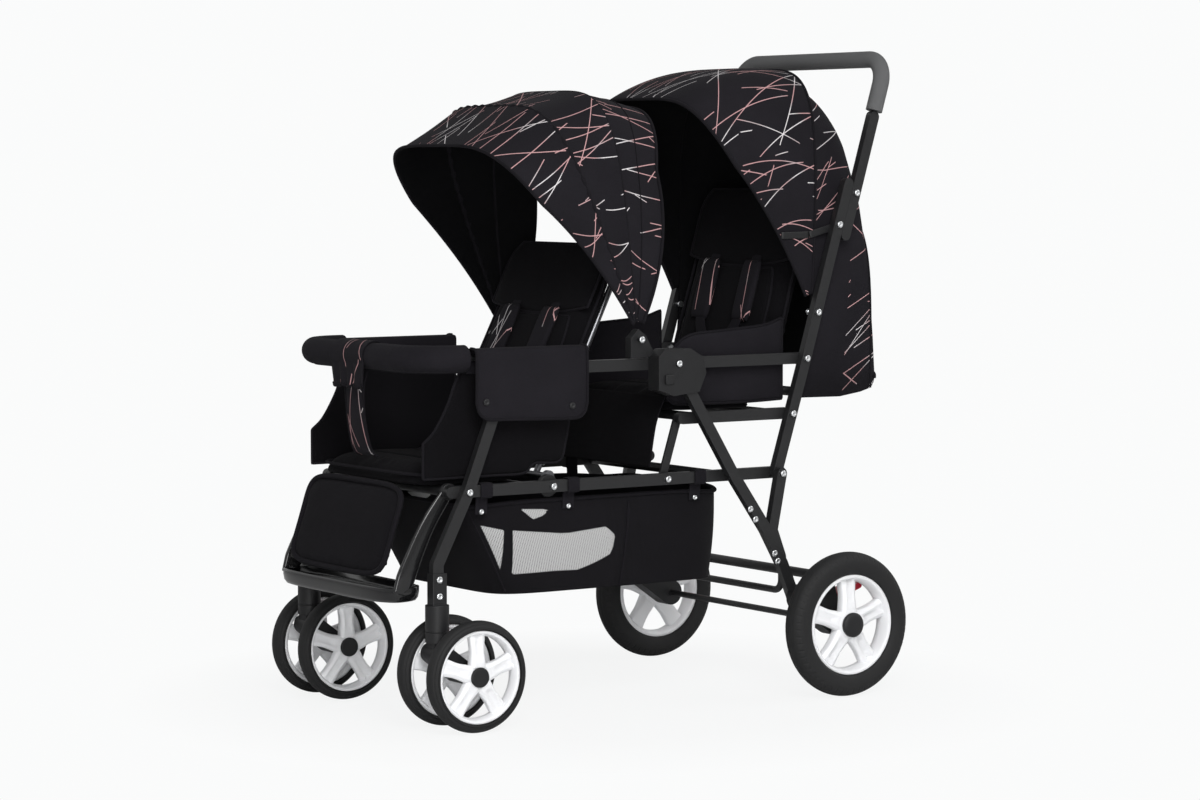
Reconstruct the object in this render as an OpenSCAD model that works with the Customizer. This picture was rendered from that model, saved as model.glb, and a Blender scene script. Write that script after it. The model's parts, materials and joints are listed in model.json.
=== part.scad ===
// Two-seat tandem pushchair with a forward-folding linkage frame.
// Millimetres. The front faces -Y, the left side is +X, up is +Z, and it stands on z = 0.

/* [Frame] */
// Distance between the front and the rear axles
wheelbase = 674; // [640:1:720]
// Distance between the middle planes of the two push tubes
frame_width = 387; // [370:1:410]
// Height of the upper side rails above the floor
upper_rail_height = 535; // [515:1:560]
// Height of the middle of the handle's top bar
handle_height = 1012; // [960:1:1060]
// Depth of the flat tubes, seen from the side
tube_depth = 18; // [16:0.5:20]
// Width of the flat tubes, across the pushchair
tube_width = 12; // [10:0.5:13]
// Diameter of the round cross tubes
cross_tube_diameter = 15; // [12:0.5:18]

/* [Wheels] */
// Diameter of the rear wheels over the tyre
rear_wheel_diameter = 230; // [215:1:245]
// Width of the rear tyres
rear_tyre_width = 40; // [34:1:42]
// Diameter of the front wheels over the tyre
front_wheel_diameter = 168; // [156:1:176]
// Width of the front tyres
front_tyre_width = 30; // [24:1:31]
// Distance from a caster's stem axis back to its axle
caster_trail = 42; // [36:1:46]
// Number of double spokes in each wheel
spoke_count = 5; // [5:1:6]

/* [Soft parts] */
// Thickness of single cloth
cloth = 2; // [1.5:0.1:2.5]
// Thickness of the seat cushions
cushion = 34; // [26:1:40]
// Radius of both canopies about their pivots
canopy_radius = 388; // [370:1:400]
// Diameter of the padded bumper bar
bumper_diameter = 42; // [36:1:46]
// Diameter of the foam grip
grip_diameter = 27; // [24:0.5:32]

/* [Fits] */
// Diameter of the frame pins
pin_diameter = 6; // [5:0.5:7]
// Radial clearance of a pin in its hole
running_clearance = 0.05; // [0.03:0.01:0.1]
// Gap between neighbouring pieces
gap = 0.3; // [0.2:0.05:0.4]

/* [Hidden] */
$fn = 48;
// drawn points are in millimetres at these three reference sizes
drawn_wheelbase = 674;
drawn_rail_height = 535;
drawn_handle_height = 1012;
ky = wheelbase / drawn_wheelbase;
kz = upper_rail_height / drawn_rail_height;
kh = (handle_height - upper_rail_height) / (drawn_handle_height - drawn_rail_height);
// middle of the outline along the drawn y axis
drawn_middle = 97.6;
function at_y(y) = (y - drawn_middle) * ky;
function at(p) = [at_y(p.x), p.y * kz];
function path(ps) = [for (p = ps) at(p)];
// points that follow the push handle above the upper rails
function on_handle(p) = [at_y(p.x), upper_rail_height + (p.y - drawn_rail_height) * kh];
function handle_path(ps) = [for (p = ps) on_handle(p)];

// side-view points, y rearward and z up
front_pivot = at([-243, 355]);
handle_pivot = at([333, 355]);
support_foot = at([128, 355]);
upright = at([57, 180]) - at([0, 0]);
support_share = 0.517;
rail_front_pin = front_pivot + upright;
rail_rear_pin = handle_pivot + upright;
support_top = support_foot + upright * support_share;
seat_rear_pin = handle_pivot + upright * support_share;
lower_rail_path = [at([-266, 355]), at([349, 355])];
rail_ends = [14, 10];
upper_rail_path = [rail_front_pin - [rail_ends[0] * ky, 0], rail_rear_pin + [rail_ends[1] * ky, 0]];
front_leg_path = [at([-297, 204]), at([-297, 250]), front_pivot, at([-199, 466]), rail_front_pin];
handle_low_path = [handle_pivot, rail_rear_pin, on_handle([474, 812])];
rear_leg_path = [at([129, 533]), at([240, 356]), at([303, 268]), at([336, 211]), at([362, 150])];
link_path = [handle_pivot, at([315, 266]), at([332, 222])];
latch_point = at([128, 536]);
latch_exit = at([123, 572]);
recline_pivot = at([-85, 355]);
back_top = at([84, 700]);
rear_recline_pivot = at([376, 482]);
rear_back_top = on_handle([470, 800]);
front_canopy_pivot = at([70, 574]);
rear_canopy_pivot = on_handle([412, 608]);
rear_axle = [at_y(420), rear_wheel_diameter / 2];
stem_y = at_y(-296);
front_axle = [stem_y + caster_trail, front_wheel_diameter / 2];
crossbar_point = at([396, 190]);
hoop_point = at([345, 166]);
front_tube_y = at_y(-262);
lower_tubes = [at_y(-262), at_y(-126), at_y(232)];
seat_tubes = [at_y(189), at_y(338)];
rail_z = front_pivot.y;
seat_z = support_top.y;

// layers across the width
half = frame_width / 2;
layer_gap = 0.5;
rail_x = half - tube_width - layer_gap;
leg_x = half + tube_width + layer_gap;
link_thick = 4;
link_gap = 2;
support_x = rail_x - tube_width / 2 - link_gap - link_thick / 2;
inner_face = rail_x - tube_width / 2;
upright_face = half + tube_width / 2;
leg_face = leg_x + tube_width / 2;
head_share = 1.7;
head_diameter = pin_diameter * head_share;
head_thick = 2.4;
hole_diameter = pin_diameter + 2 * running_clearance;
wheel_stand = 53.6;
rear_track = leg_face + wheel_stand;
rear_inner = rear_track - rear_tyre_width / 2;
wheel_offset = 42;
axle_diameter = 10;
axle_hole = axle_diameter + 2 * running_clearance;
soft_inset = 11;
soft_half = inner_face - soft_inset;
overlap = 1;

// recline hub and the eyes of the front back rod, from the rail inward
hub_width = 8;
hub_diameter = 34;
eye_width = 8;
hub_inner = inner_face - gap - hub_width;
back_dir = (back_top - recline_pivot) / norm(back_top - recline_pivot);
back_normal = [-back_dir.y, back_dir.x];
back_rod_diameter = 10;
back_rod_share = 0.66;
back_rod_half = half * back_rod_share;
back_foot = 15;
back_base = recline_pivot + back_dir * back_foot;
back_length = norm(back_top - recline_pivot);
back_pad_rise = 52;
back_pad_start = recline_pivot + back_dir * back_pad_rise + back_normal * (back_rod_diameter / 2 + gap);
back_pad_over = 14;
back_pad_length = back_length - back_pad_rise + back_pad_over;
back_pad_share = 1.5;
back_pad_width = half * back_pad_share;
rear_dir = (rear_back_top - rear_recline_pivot) / norm(rear_back_top - rear_recline_pivot);
rear_normal = [-rear_dir.y, rear_dir.x];
rear_pad_start = rear_recline_pivot + rear_normal * (cross_tube_diameter / 2 + gap);
rear_pad_length = norm(rear_back_top - rear_recline_pivot);
seat_pad_width = 2 * (soft_half - cloth / 2 - gap);
back_channels = [0.3, 0.55, 0.8];
seat_channels = [0.35, 0.68];
strap_thick = 5;

// push handle above the splice
handle_dir = (handle_low_path[2] - handle_low_path[1]) / norm(handle_low_path[2] - handle_low_path[1]);
handle_normal = [handle_dir.y, -handle_dir.x];
splice_length = 80;
handle_up_start = handle_low_path[2] - handle_dir * splice_length + handle_normal * (tube_depth + gap);
handle_up_length = (handle_height - handle_up_start.y) / handle_dir.y;
handle_top = handle_up_start + handle_dir * handle_up_length;
grip_leg = 88;
grip_bend = 44;
bar_diameter = 15;
splice_places = [68, 70];
splice_rivets = [
    handle_low_path[2] - handle_dir * splice_places[0],
    handle_up_start + handle_dir * splice_places[1]
];

// bumper
bumper_rise = 10;
bumper_z = upper_rail_height + tube_depth / 2 + bumper_rise;
bumper_front = at_y(-316);
bumper_bend = 62;
bumper_bar_diameter = 14;
spigot_diameter = 8;
socket_y = [at_y(-202), at_y(-142)];
socket_rise = 12;
socket_top = bumper_z + socket_rise;
bumper_pad_end = at_y(-238);

// canopies, nested from the inside out
nest = cloth + 2 * gap;
canopy_hub = pin_diameter / 2 + running_clearance;
canopy_power = 4.5;
canopy_steps = 12;
canopy_stand = 4;
front_canopy_half = rail_x + tube_width / 2 + cloth + canopy_stand;
canopy_inset = 5;
rear_canopy_half = half - tube_width / 2 - canopy_inset;
front_canopy_angles = [-10, 6, 22, 40];
rear_canopy_angles = [2, 31];

// casters
fork_half = 24;
stem_diameter = 12;
socket_diameter = 36;
socket_z = [150 * kz, 190 * kz];
sleeve_top = 238 * kz;
sleeve_wall = 3;
front_rim_share = 0.845;
rear_rim_share = 0.7;
front_rim_radius = front_wheel_diameter / 2 * front_rim_share;
rear_rim_radius = rear_wheel_diameter / 2 * rear_rim_share;
front_hub_in = wheel_offset - fork_half - gap;
front_hub_out = 8;
cap_thick = 5;
front_cap_diameter = 30;
rear_cap_diameter = 38;
housing_gap = 3;
housing_width = rear_inner - leg_face - housing_gap;
housing_x = leg_face + gap + housing_width / 2;
rear_hub_in = rear_track - leg_face - housing_width - 2 * gap;
rear_hub_out = 14;
arm_dir = (crossbar_point - rear_axle) / norm(crossbar_point - rear_axle);
arm_normal = [arm_dir.y, -arm_dir.x];
housing_arm = 26;
pedal_depth = 10;
pedal_pivot = (crossbar_point + rear_axle) / 2 + arm_normal * (housing_arm / 2 + pedal_depth / 2 + gap);
pedal_reach = [40, 13];
lock_depth = 9;
lock_drop = 15;
lock_pivot = [stem_y + socket_diameter / 2 + lock_depth / 2 + gap, socket_z[0] - lock_drop];
lock_reach = [22, 8];

// colours as the photograph shows them
frame_colour = [0.15, 0.15, 0.16];
plastic_colour = [0.07, 0.07, 0.08];
steel_colour = [0.75, 0.76, 0.78];
cloth_colour = [0.11, 0.105, 0.125];
print_colour = [0.2, 0.14, 0.16];
rim_colour = [0.86, 0.87, 0.88];
tyre_colour = [0.1, 0.1, 0.11];
red_colour = [0.72, 0.06, 0.1];
foam_colour = [0.22, 0.23, 0.24];

// extrudes a side view across the width, centred on x
module side(x, thick) {
    translate([x - thick / 2, 0, 0]) rotate([90, 0, 90]) linear_extrude(thick) children();
}

// repeats a left-hand piece on the right
module both() {
    children();
    mirror([1, 0, 0]) children();
}

module leg2(a, b, w) {
    d = b - a;
    translate(a) rotate(atan2(d.y, d.x)) translate([0, -w / 2]) square([norm(d), w]);
}

// flat tube through side-view points; its round ends and corners stand back a little from the flanks
end_step = 0.2;
module run2(ps, w) {
    for (i = [0 : len(ps) - 2]) leg2(ps[i], ps[i + 1], w);
    for (p = ps) translate(p) circle(d = w - end_step);
}

module flat_tube(ps, x) {
    side(x, tube_width) run2(ps, tube_depth);
}

// round bar along x through a side-view point
module rod(p, x0, x1, d) {
    translate([x0, p.x, p.y]) rotate([0, 90, 0]) cylinder(d = d, h = x1 - x0);
}

// pin with a head at each end, both clear of the faces
module rivet(p, x0, x1) {
    rod(p, x0 - gap, x1 + gap, pin_diameter);
    rod(p, x0 - gap - head_thick, x0 - gap, head_diameter);
    rod(p, x1 + gap, x1 + gap + head_thick, head_diameter);
}

module hole(p, x) {
    rod(p, x - tube_width, x + tube_width, hole_diameter);
}

function turned(l) = [for (j = [len(l) - 1 : -1 : 0]) l[j]];

// closed surface through rings of points, with a flat cap at each end
module skin(rings) {
    n = len(rings[0]);
    m = len(rings);
    points = [for (r = rings) each r];
    start = [[for (j = [n - 1 : -1 : 0]) j]];
    stop = [[for (j = [0 : n - 1]) (m - 1) * n + j]];
    walls = [for (i = [0 : m - 2]) for (j = [0 : n - 1])
        let (a = i * n + j, b = i * n + (j + 1) % n)
        each [[a, b, a + n], [b, b + n, a + n]]];
    polyhedron(points = points, faces = concat(start, walls, stop));
}

// height of a crowned pad above its back: v runs along it and u across it from -1 to 1
pad_edge_share = 0.45;
crown_power = 4;
channel_depth_share = 0.16;
channel_width_share = 0.045;
function bump(v, c) = exp(-pow((v - c) / channel_width_share, 2));
end_share = 0.2;
function pad_rise(u, v) =
    (1 - pow(abs(u), crown_power)) * (1 - (1 - end_share) * pow(abs(2 * v - 1), 2 * crown_power));
function pad_top(u, v, thick, channels) =
    thick * (pad_edge_share + (1 - pad_edge_share) * pad_rise(u, v))
    - thick * channel_depth_share * (1 - pow(u, 2)) * max([for (c = channels) bump(v, c), 0]);

// cushion with a crown, drawn-in sides and sewn channels; its back lies on z = 0
pad_steps = 18;
pad_across = 10;
draw_in_share = 0.05;
function pad_ring(w, l, thick, channels, v) =
    let (wv = w * (1 - draw_in_share * pow(2 * v - 1, 4)))
    [for (s = [-1, 1]) [s * wv / 2, v * l, 0],
     for (j = [pad_across : -1 : -pad_across])
        let (u = j / pad_across) [u * wv / 2, v * l, pad_top(u, v, thick, channels)]];
module pad(w, l, thick, channels) {
    skin([for (i = [0 : pad_steps]) pad_ring(w, l, thick, channels, i / pad_steps)]);
}

// strap lying just above a pad's face, between two steps of its length and two steps across it
strap_lift = 0.7;
function strap_line(w, l, thick, channels, across, i, lift) =
    let (v = i / pad_steps, wv = w * (1 - draw_in_share * pow(2 * v - 1, 4)))
    [for (k = [across[0] : across[1]])
        let (u = k / pad_across) [u * wv / 2, v * l, pad_top(u, v, thick, channels) + lift]];
module strap(w, l, thick, channels, across, along, t) {
    skin([for (i = [along[0] : along[1]]) concat(
        strap_line(w, l, thick, channels, across, i, strap_lift),
        turned(strap_line(w, l, thick, channels, across, i, strap_lift + t)))]);
}

// places a pad with its back on a side-view line from a to b
module lay(a, b) {
    d = b - a;
    translate([0, a.x, a.y]) rotate([atan2(d.y, d.x), 0, 0]) children();
}

// Lower frame, which carries everything else
module lower_rails() color(frame_colour) {
    both() difference() {
        flat_tube(lower_rail_path, rail_x);
        for (p = [front_pivot, handle_pivot, support_foot]) hole(p, rail_x);
        hole([recline_pivot.x, rail_z], rail_x);
    }
    for (y = lower_tubes)
        rod([y, rail_z], -inner_face - overlap, inner_face + overlap, cross_tube_diameter);
}

module chassis_pins() color(steel_colour) both() {
    rivet(front_pivot, inner_face, upright_face);
    rivet(handle_pivot, inner_face, leg_face);
    rivet(support_foot, support_x - link_thick / 2, rail_x + tube_width / 2);
    rivet([recline_pivot.x, rail_z], hub_inner - eye_width - gap, rail_x + tube_width / 2);
}

basket_points = 32;
basket_power = 7;
basket_bulge = 5;
basket_sag = 7;
basket_rim_z = 333 * kz;
basket_floor_z = 190 * kz;
basket_front = [at_y(-165), at_y(-239)];
basket_rear = [at_y(255), at_y(262)];
basket_shares = [0.82, 0.875];
basket_half = half * basket_shares;
function mix(ab, h) = ab[0] + (ab[1] - ab[0]) * h;
function round_power(c) = sign(c) * pow(abs(c), 2 / basket_power);
function basket_ring(h, inset, z, scale_share) =
    let (hw = (mix(basket_half, h) + basket_bulge * sin(180 * h) - inset) * scale_share,
         y0 = mix(basket_front, h) + inset, y1 = mix(basket_rear, h) - inset,
         hl = (y1 - y0) / 2 * scale_share)
    [for (j = [0 : basket_points - 1]) let (a = -360 * j / basket_points)
        [hw * round_power(cos(a)), (y0 + y1) / 2 + hl * round_power(sin(a)), z]];
basket_levels = [0, 0.35, 0.7, 1];
floor_share = 0.5;
strap_width = 20;
basket_strap_y = [at_y(-205), at_y(-48), at_y(190)];

// open cloth tub under the rails, hung from them on webbing loops
module basket() color(cloth_colour) {
    skin(concat(
        [basket_ring(0, 0, basket_floor_z - basket_sag, floor_share)],
        [for (h = basket_levels) basket_ring(h, 0, mix([basket_floor_z, basket_rim_z], h), 1)],
        [for (i = [len(basket_levels) - 1 : -1 : 0]) let (h = basket_levels[i])
            basket_ring(h, cloth, mix([basket_floor_z + cloth, basket_rim_z], h), 1)],
        [basket_ring(0, cloth, basket_floor_z - basket_sag + cloth, floor_share)]));
    loop_x = inner_face - gap - cloth;
    both() for (y = basket_strap_y) translate([0, y - strap_width / 2, 0]) {
        translate([loop_x, 0, basket_rim_z - strap_width])
            cube([cloth, strap_width, rail_z + tube_depth / 2 + gap + cloth - basket_rim_z + strap_width]);
        translate([loop_x, 0, rail_z + tube_depth / 2 + gap]) cube([cloth + gap + tube_width, strap_width, cloth]);
        translate([basket_half[1] - cloth - overlap, 0, basket_rim_z - strap_width])
            cube([loop_x + overlap - basket_half[1] + cloth + overlap, strap_width, strap_width / 2]);
    }
}

// Front seat on the lower frame
seat_pad_y = [at_y(-309.4), at_y(-114)];
seat_pad_z = rail_z + cross_tube_diameter / 2 + gap;
module front_seat_pad() color(cloth_colour)
    translate([0, seat_pad_y[0], seat_pad_z])
        pad(seat_pad_width, seat_pad_y[1] - seat_pad_y[0], cushion, seat_channels);

front_side_path = path([
    [-304, 372], [-122, 372], [-112, 386], [-60, 386], [-40, 470], [-40, 552], [-226, 552], [-232, 520], [-304, 430]]);
module front_seat_sides() color(cloth_colour) both()
    side(soft_half, cloth) polygon(front_side_path);

foot_path = path([[-334, 206], [-334, 218], [-318, 250], [-262, 355]]);
foot_arm_depth = 14;
foot_arm_width = 10;
foot_x = inner_face - layer_gap - foot_arm_width / 2;
tray_y = [at_y(-372), at_y(-296)];
tray_thick = 8;
tray_z = 198 * kz;
tray_corner = 30;
collar_diameter = 25;
module footrest() color(plastic_colour) difference() {
    union() {
        translate([0, 0, tray_z]) linear_extrude(tray_thick) {
            translate([-foot_x - foot_arm_width / 2, tray_y[0] + tray_corner])
                square([2 * foot_x + foot_arm_width, tray_y[1] - tray_y[0] - tray_corner]);
            translate([-foot_x - foot_arm_width / 2 + tray_corner, tray_y[0]])
                square([2 * foot_x + foot_arm_width - 2 * tray_corner, tray_corner + overlap]);
            for (s = [-1, 1])
                translate([s * (foot_x + foot_arm_width / 2 - tray_corner), tray_y[0] + tray_corner])
                    circle(r = tray_corner);
        }
        both() side(foot_x, foot_arm_width) {
            run2(foot_path, foot_arm_depth);
            translate([front_tube_y, rail_z]) circle(d = collar_diameter);
        }
        rod([tray_y[0] + foot_arm_depth, tray_z + tray_thick], -foot_x + tray_corner, foot_x - tray_corner,
            foot_arm_depth);
    }
    rod([front_tube_y, rail_z], -half, half, cross_tube_diameter + 2 * gap);
}

calf_top = at([-310.2, 367]);
calf_bottom = at([-352, 240]);
calf_thick = 12;
calf_share = 1.4;
calf_width = half * calf_share;
calf_channels = [0.5];
module calf_rest() color(cloth_colour)
    lay(calf_bottom, calf_top) pad(calf_width, norm(calf_top - calf_bottom), calf_thick, calf_channels);

// Front backrest: hubs on the rail pins, a bent rod and a padded back
module recline_hubs() color(plastic_colour) both() difference() {
    rod(recline_pivot, hub_inner, hub_inner + hub_width, hub_diameter);
    rod(recline_pivot, hub_inner - overlap, hub_inner + hub_width + overlap, hole_diameter);
}

// U-shaped round bar in the XY plane: its top lies on y = 0 and its legs run to -leg
module u_bar(d, hw, leg, r) {
    for (s = [-1, 1]) translate([s * hw, -leg, 0]) rotate([-90, 0, 0]) cylinder(d = d, h = leg - r);
    translate([-hw + r, 0, 0]) rotate([0, 90, 0]) cylinder(d = d, h = 2 * (hw - r));
    translate([hw - r, -r, 0]) rotate_extrude(angle = 90) translate([r, 0]) circle(d = d);
    translate([-hw + r, -r, 0]) rotate([0, 0, 90]) rotate_extrude(angle = 90) translate([r, 0]) circle(d = d);
}

back_bend = 40;
eye_diameter = 18;
module front_back_rod() color(frame_colour) {
    lay(recline_pivot, back_top) translate([0, back_length, 0])
        u_bar(back_rod_diameter, back_rod_half, back_length - back_foot, back_bend);
    rod(back_base, -hub_inner + gap, hub_inner - gap, back_rod_diameter);
    both() difference() {
        side(hub_inner - gap - eye_width / 2, eye_width) run2([recline_pivot, back_base], eye_diameter);
        rod(recline_pivot, hub_inner - eye_width - overlap, hub_inner + overlap, hole_diameter);
    }
}

back_thick = 24;
module front_back_pad() color(cloth_colour)
    lay(back_pad_start, back_pad_start + back_dir) pad(back_pad_width, back_pad_length, back_thick, back_channels);

strap_along = [6, 15];
strap_across = [2, 6];
module shoulder_straps(length) {
    both() strap(back_pad_width, length, back_thick, back_channels, strap_across, strap_along, strap_thick);
}
module front_harness() color(print_colour)
    lay(back_pad_start, back_pad_start + back_dir) shoulder_straps(back_pad_length);

// Front legs and casters
module front_legs() color(frame_colour) both() {
    difference() {
        flat_tube(front_leg_path, half);
        hole(front_pivot, half);
    }
    rod(rail_front_pin, inner_face, half, pin_diameter);
}

module caster_sockets() color(plastic_colour) both() translate([half, stem_y, 0]) difference() {
    union() {
        translate([0, 0, socket_z[0]]) cylinder(d = socket_diameter, h = socket_z[1] - socket_z[0]);
        translate([-tube_width / 2 - sleeve_wall, -tube_depth / 2 - sleeve_wall, socket_z[1] - overlap])
            cube([tube_width + 2 * sleeve_wall, tube_depth + 2 * sleeve_wall, sleeve_top - socket_z[1]]);
    }
    translate([0, 0, socket_z[0] - overlap])
        cylinder(d = stem_diameter + 2 * running_clearance, h = socket_z[1] - socket_z[0] - sleeve_wall);
    translate([-tube_width / 2 - gap, -tube_depth / 2 - gap - overlap, socket_z[1] + sleeve_wall])
        cube([tube_width + 2 * gap, tube_depth + 2 * gap + 2 * overlap, sleeve_top]);
}

fork_depth = 30;
fork_drop = 34;
fork_knee_z = socket_z[0] - fork_drop;
neck_width = 24;
collar_height = 16;
module caster_fork(s) color(plastic_colour) {
    x = s * half;
    difference() {
        union() {
            side(x, 2 * fork_half) run2([[stem_y, fork_knee_z], front_axle], fork_depth);
            translate([x - neck_width / 2, stem_y - neck_width / 2, fork_knee_z])
                cube([neck_width, neck_width, fork_drop - collar_height / 2]);
            translate([x, stem_y, socket_z[0] - collar_height])
                cylinder(d = socket_diameter, h = collar_height - gap);
        }
        rod(front_axle, x - half, x + half, axle_hole);
    }
    translate([x, stem_y, socket_z[0] - overlap])
        cylinder(d = stem_diameter, h = socket_z[1] - socket_z[0] - 2 * sleeve_wall);
}
module caster_fork_left() caster_fork(1);
module caster_fork_right() caster_fork(-1);

// axle with a hub cap at each end
module caster_axle(s) color(plastic_colour) {
    reach = wheel_offset + front_hub_out + gap;
    x = s * half;
    rod(front_axle, x - reach, x + reach, axle_diameter);
    rod(front_axle, x + reach, x + reach + cap_thick, front_cap_diameter);
    rod(front_axle, x - reach - cap_thick, x - reach, front_cap_diameter);
}
module caster_axle_left() caster_axle(1);
module caster_axle_right() caster_axle(-1);

module caster_lock(s) color(red_colour)
    side(s * half, socket_diameter / 2) run2([lock_pivot, lock_pivot + lock_reach], lock_depth);
module caster_lock_left() caster_lock(1);
module caster_lock_right() caster_lock(-1);

// Wheels, turned about z with the outer face up
rim_wall_share = 0.13;
rim_width_share = 0.8;
spoke_share = 0.16;
spoke_gap_share = 0.55;
hub_share = 0.34;
module rim(radius, width, hub_in, hub_out) {
    wall = radius * rim_wall_share;
    hub = radius * hub_share;
    bar = radius * spoke_share;
    deep = width * spoke_gap_share;
    difference() {
        union() {
            difference() {
                cylinder(r = radius - gap, h = width * rim_width_share, center = true);
                cylinder(r = radius - wall, h = width, center = true);
            }
            translate([0, 0, -hub_in]) cylinder(r = hub, h = hub_in + hub_out);
            for (i = [0 : spoke_count - 1]) rotate(i * 360 / spoke_count) {
                for (s = [-1, 1]) translate([hub - overlap, s * bar - bar / 2, -deep / 2])
                    cube([radius - wall - hub + 2 * overlap, bar, deep]);
                translate([hub - overlap, -bar, -deep / 4])
                    cube([radius - wall - hub + 2 * overlap, 2 * bar, deep / 2]);
            }
        }
        cylinder(d = axle_hole, h = 2 * radius, center = true);
    }
}

module tyre(radius, rim_radius, width) {
    rotate_extrude($fn = 96) intersection() {
        union() {
            translate([radius - width / 2, 0]) circle(d = width);
            translate([0, -width / 2]) square([radius - width / 2, width]);
        }
        translate([rim_radius, -width]) square([radius, 2 * width]);
    }
}

// sets a wheel on an axle with its outer face towards s
module on_axle(p, x, s) {
    translate([x, p.x, p.y]) rotate([0, s * 90, 0]) children();
}

module front_rim(side_s, wheel_s) color(rim_colour)
    on_axle(front_axle, side_s * (half + wheel_s * wheel_offset), side_s * wheel_s)
        rim(front_rim_radius, front_tyre_width, front_hub_in, front_hub_out);
module front_tyre(side_s, wheel_s) color(tyre_colour)
    on_axle(front_axle, side_s * (half + wheel_s * wheel_offset), side_s * wheel_s)
        tyre(front_wheel_diameter / 2, front_rim_radius, front_tyre_width);
module front_rim_left_outer() front_rim(1, 1);
module front_rim_left_inner() front_rim(1, -1);
module front_rim_right_outer() front_rim(-1, 1);
module front_rim_right_inner() front_rim(-1, -1);
module front_tyre_left_outer() front_tyre(1, 1);
module front_tyre_left_inner() front_tyre(1, -1);
module front_tyre_right_outer() front_tyre(-1, 1);
module front_tyre_right_inner() front_tyre(-1, -1);

module rear_rim(s) color(rim_colour)
    on_axle(rear_axle, s * rear_track, s) rim(rear_rim_radius, rear_tyre_width, rear_hub_in, rear_hub_out);
module rear_tyre(s) color(tyre_colour)
    on_axle(rear_axle, s * rear_track, s) tyre(rear_wheel_diameter / 2, rear_rim_radius, rear_tyre_width);
module rear_rim_left() rear_rim(1);
module rear_rim_right() rear_rim(-1);
module rear_tyre_left() rear_tyre(1);
module rear_tyre_right() rear_tyre(-1);

// Push handle
module handle_tubes() color(frame_colour) {
    both() difference() {
        flat_tube(handle_low_path, half);
        for (p = [handle_pivot, rail_rear_pin, seat_rear_pin, rear_canopy_pivot, splice_rivets[0]]) hole(p, half);
    }
    rod(rear_recline_pivot, -half, half, cross_tube_diameter);
}

module handle_upper() color(frame_colour) {
    both() difference() {
        flat_tube([handle_up_start, handle_top - handle_dir * (grip_leg + gap + tube_depth / 2)], half);
        hole(splice_rivets[1], half);
    }
    lay(handle_top, handle_top + handle_dir) u_bar(bar_diameter, half, grip_leg, grip_bend);
}

module handle_grip() color(foam_colour) lay(handle_top, handle_top + handle_dir) difference() {
    u_bar(grip_diameter, half, grip_leg - 2 * gap, grip_bend);
    u_bar(bar_diameter + 2 * gap, half, grip_leg + overlap, grip_bend);
}

module handle_pins() color(steel_colour) both() {
    for (p = [rail_rear_pin, seat_rear_pin]) rivet(p, inner_face, upright_face);
    for (p = splice_rivets) rivet(p, half - tube_width / 2, upright_face);
    rivet(rear_canopy_pivot, rear_canopy_half - nest - cloth - gap, upright_face);
}

// Canopies: cloth panels turned about the pivot line, one nested over the next
function arch(r, hw) = [for (j = [-canopy_steps : canopy_steps]) let (a = 90 * j / canopy_steps)
    [r * pow(cos(a), 2 / canopy_power), hw * sign(a) * pow(abs(sin(a)), 2 / canopy_power)]];
module canopy_panel(pivot, r, hw, a0, a1) {
    translate([0, pivot.x, pivot.y]) rotate([0, 90, 0]) rotate(180 + a0)
        rotate_extrude(angle = a1 - a0) difference() {
            intersection() {
                polygon(arch(r, hw));
                translate([canopy_hub, -r]) square([2 * r, 2 * r]);
            }
            polygon(arch(r - cloth, hw - cloth));
        }
}
module front_panel(i) color(cloth_colour)
    canopy_panel(front_canopy_pivot, canopy_radius - nest * (2 - i), front_canopy_half + nest * i,
        front_canopy_angles[i], front_canopy_angles[i + 1]);
module front_canopy_back() front_panel(0);
module front_canopy_mid() front_panel(1);
module front_canopy_visor() front_panel(2);
module rear_canopy_front() color(cloth_colour)
    canopy_panel(rear_canopy_pivot, canopy_radius, rear_canopy_half, rear_canopy_angles[0], rear_canopy_angles[1]);

// Rear cover: one sewn cloth from the middle hoop over the back and down behind the rear seat
cover_low = handle_path([[415.2, 612], [429, 474], [472, 470], [514, 476], [540, 484], [546, 490], [548, 494]]);
cover_top = handle_path([[407, 978], [448, 972], [490, 950], [520, 908], [531, 850], [539, 690], [545, 512]]);
cover_steps = 10;
cover_half = rear_canopy_half - nest;
function cover_line(i, inset) = [for (j = [-cover_steps : cover_steps])
    let (a = 90 * j / cover_steps,
         h = pow(cos(a), 2 / canopy_power), u = sign(a) * pow(abs(sin(a)), 2 / canopy_power),
         low = cover_low[i], top = cover_top[i] - [inset, inset])
    [u * (cover_half - inset), low.x + (top.x - low.x) * h, low.y + (top.y - low.y) * h]];
module rear_cover() color(cloth_colour)
    skin([for (i = [0 : len(cover_low) - 1]) concat(cover_line(i, cloth), turned(cover_line(i, 0)))]);

module rear_back_pad() color(cloth_colour)
    lay(rear_pad_start, rear_pad_start + rear_dir)
        pad(back_pad_width, rear_pad_length, back_thick, back_channels);
module rear_harness() color(print_colour)
    lay(rear_pad_start, rear_pad_start + rear_dir) shoulder_straps(rear_pad_length);

// Upper rails with their lock housings, flaps and bumper
module upper_rails() color(frame_colour) both() difference() {
    union() {
        flat_tube(upper_rail_path, rail_x);
        translate([inner_face, socket_y[0], upper_rail_height])
            cube([tube_width, socket_y[1] - socket_y[0], socket_top - upper_rail_height]);
    }
    for (p = [rail_front_pin, rail_rear_pin, latch_point]) hole(p, rail_x);
    translate([rail_x, socket_y[0] - overlap, bumper_z]) rotate([-90, 0, 0])
        cylinder(d = spigot_diameter + 2 * running_clearance, h = socket_y[1] - socket_y[0] + 2 * overlap);
}

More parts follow.
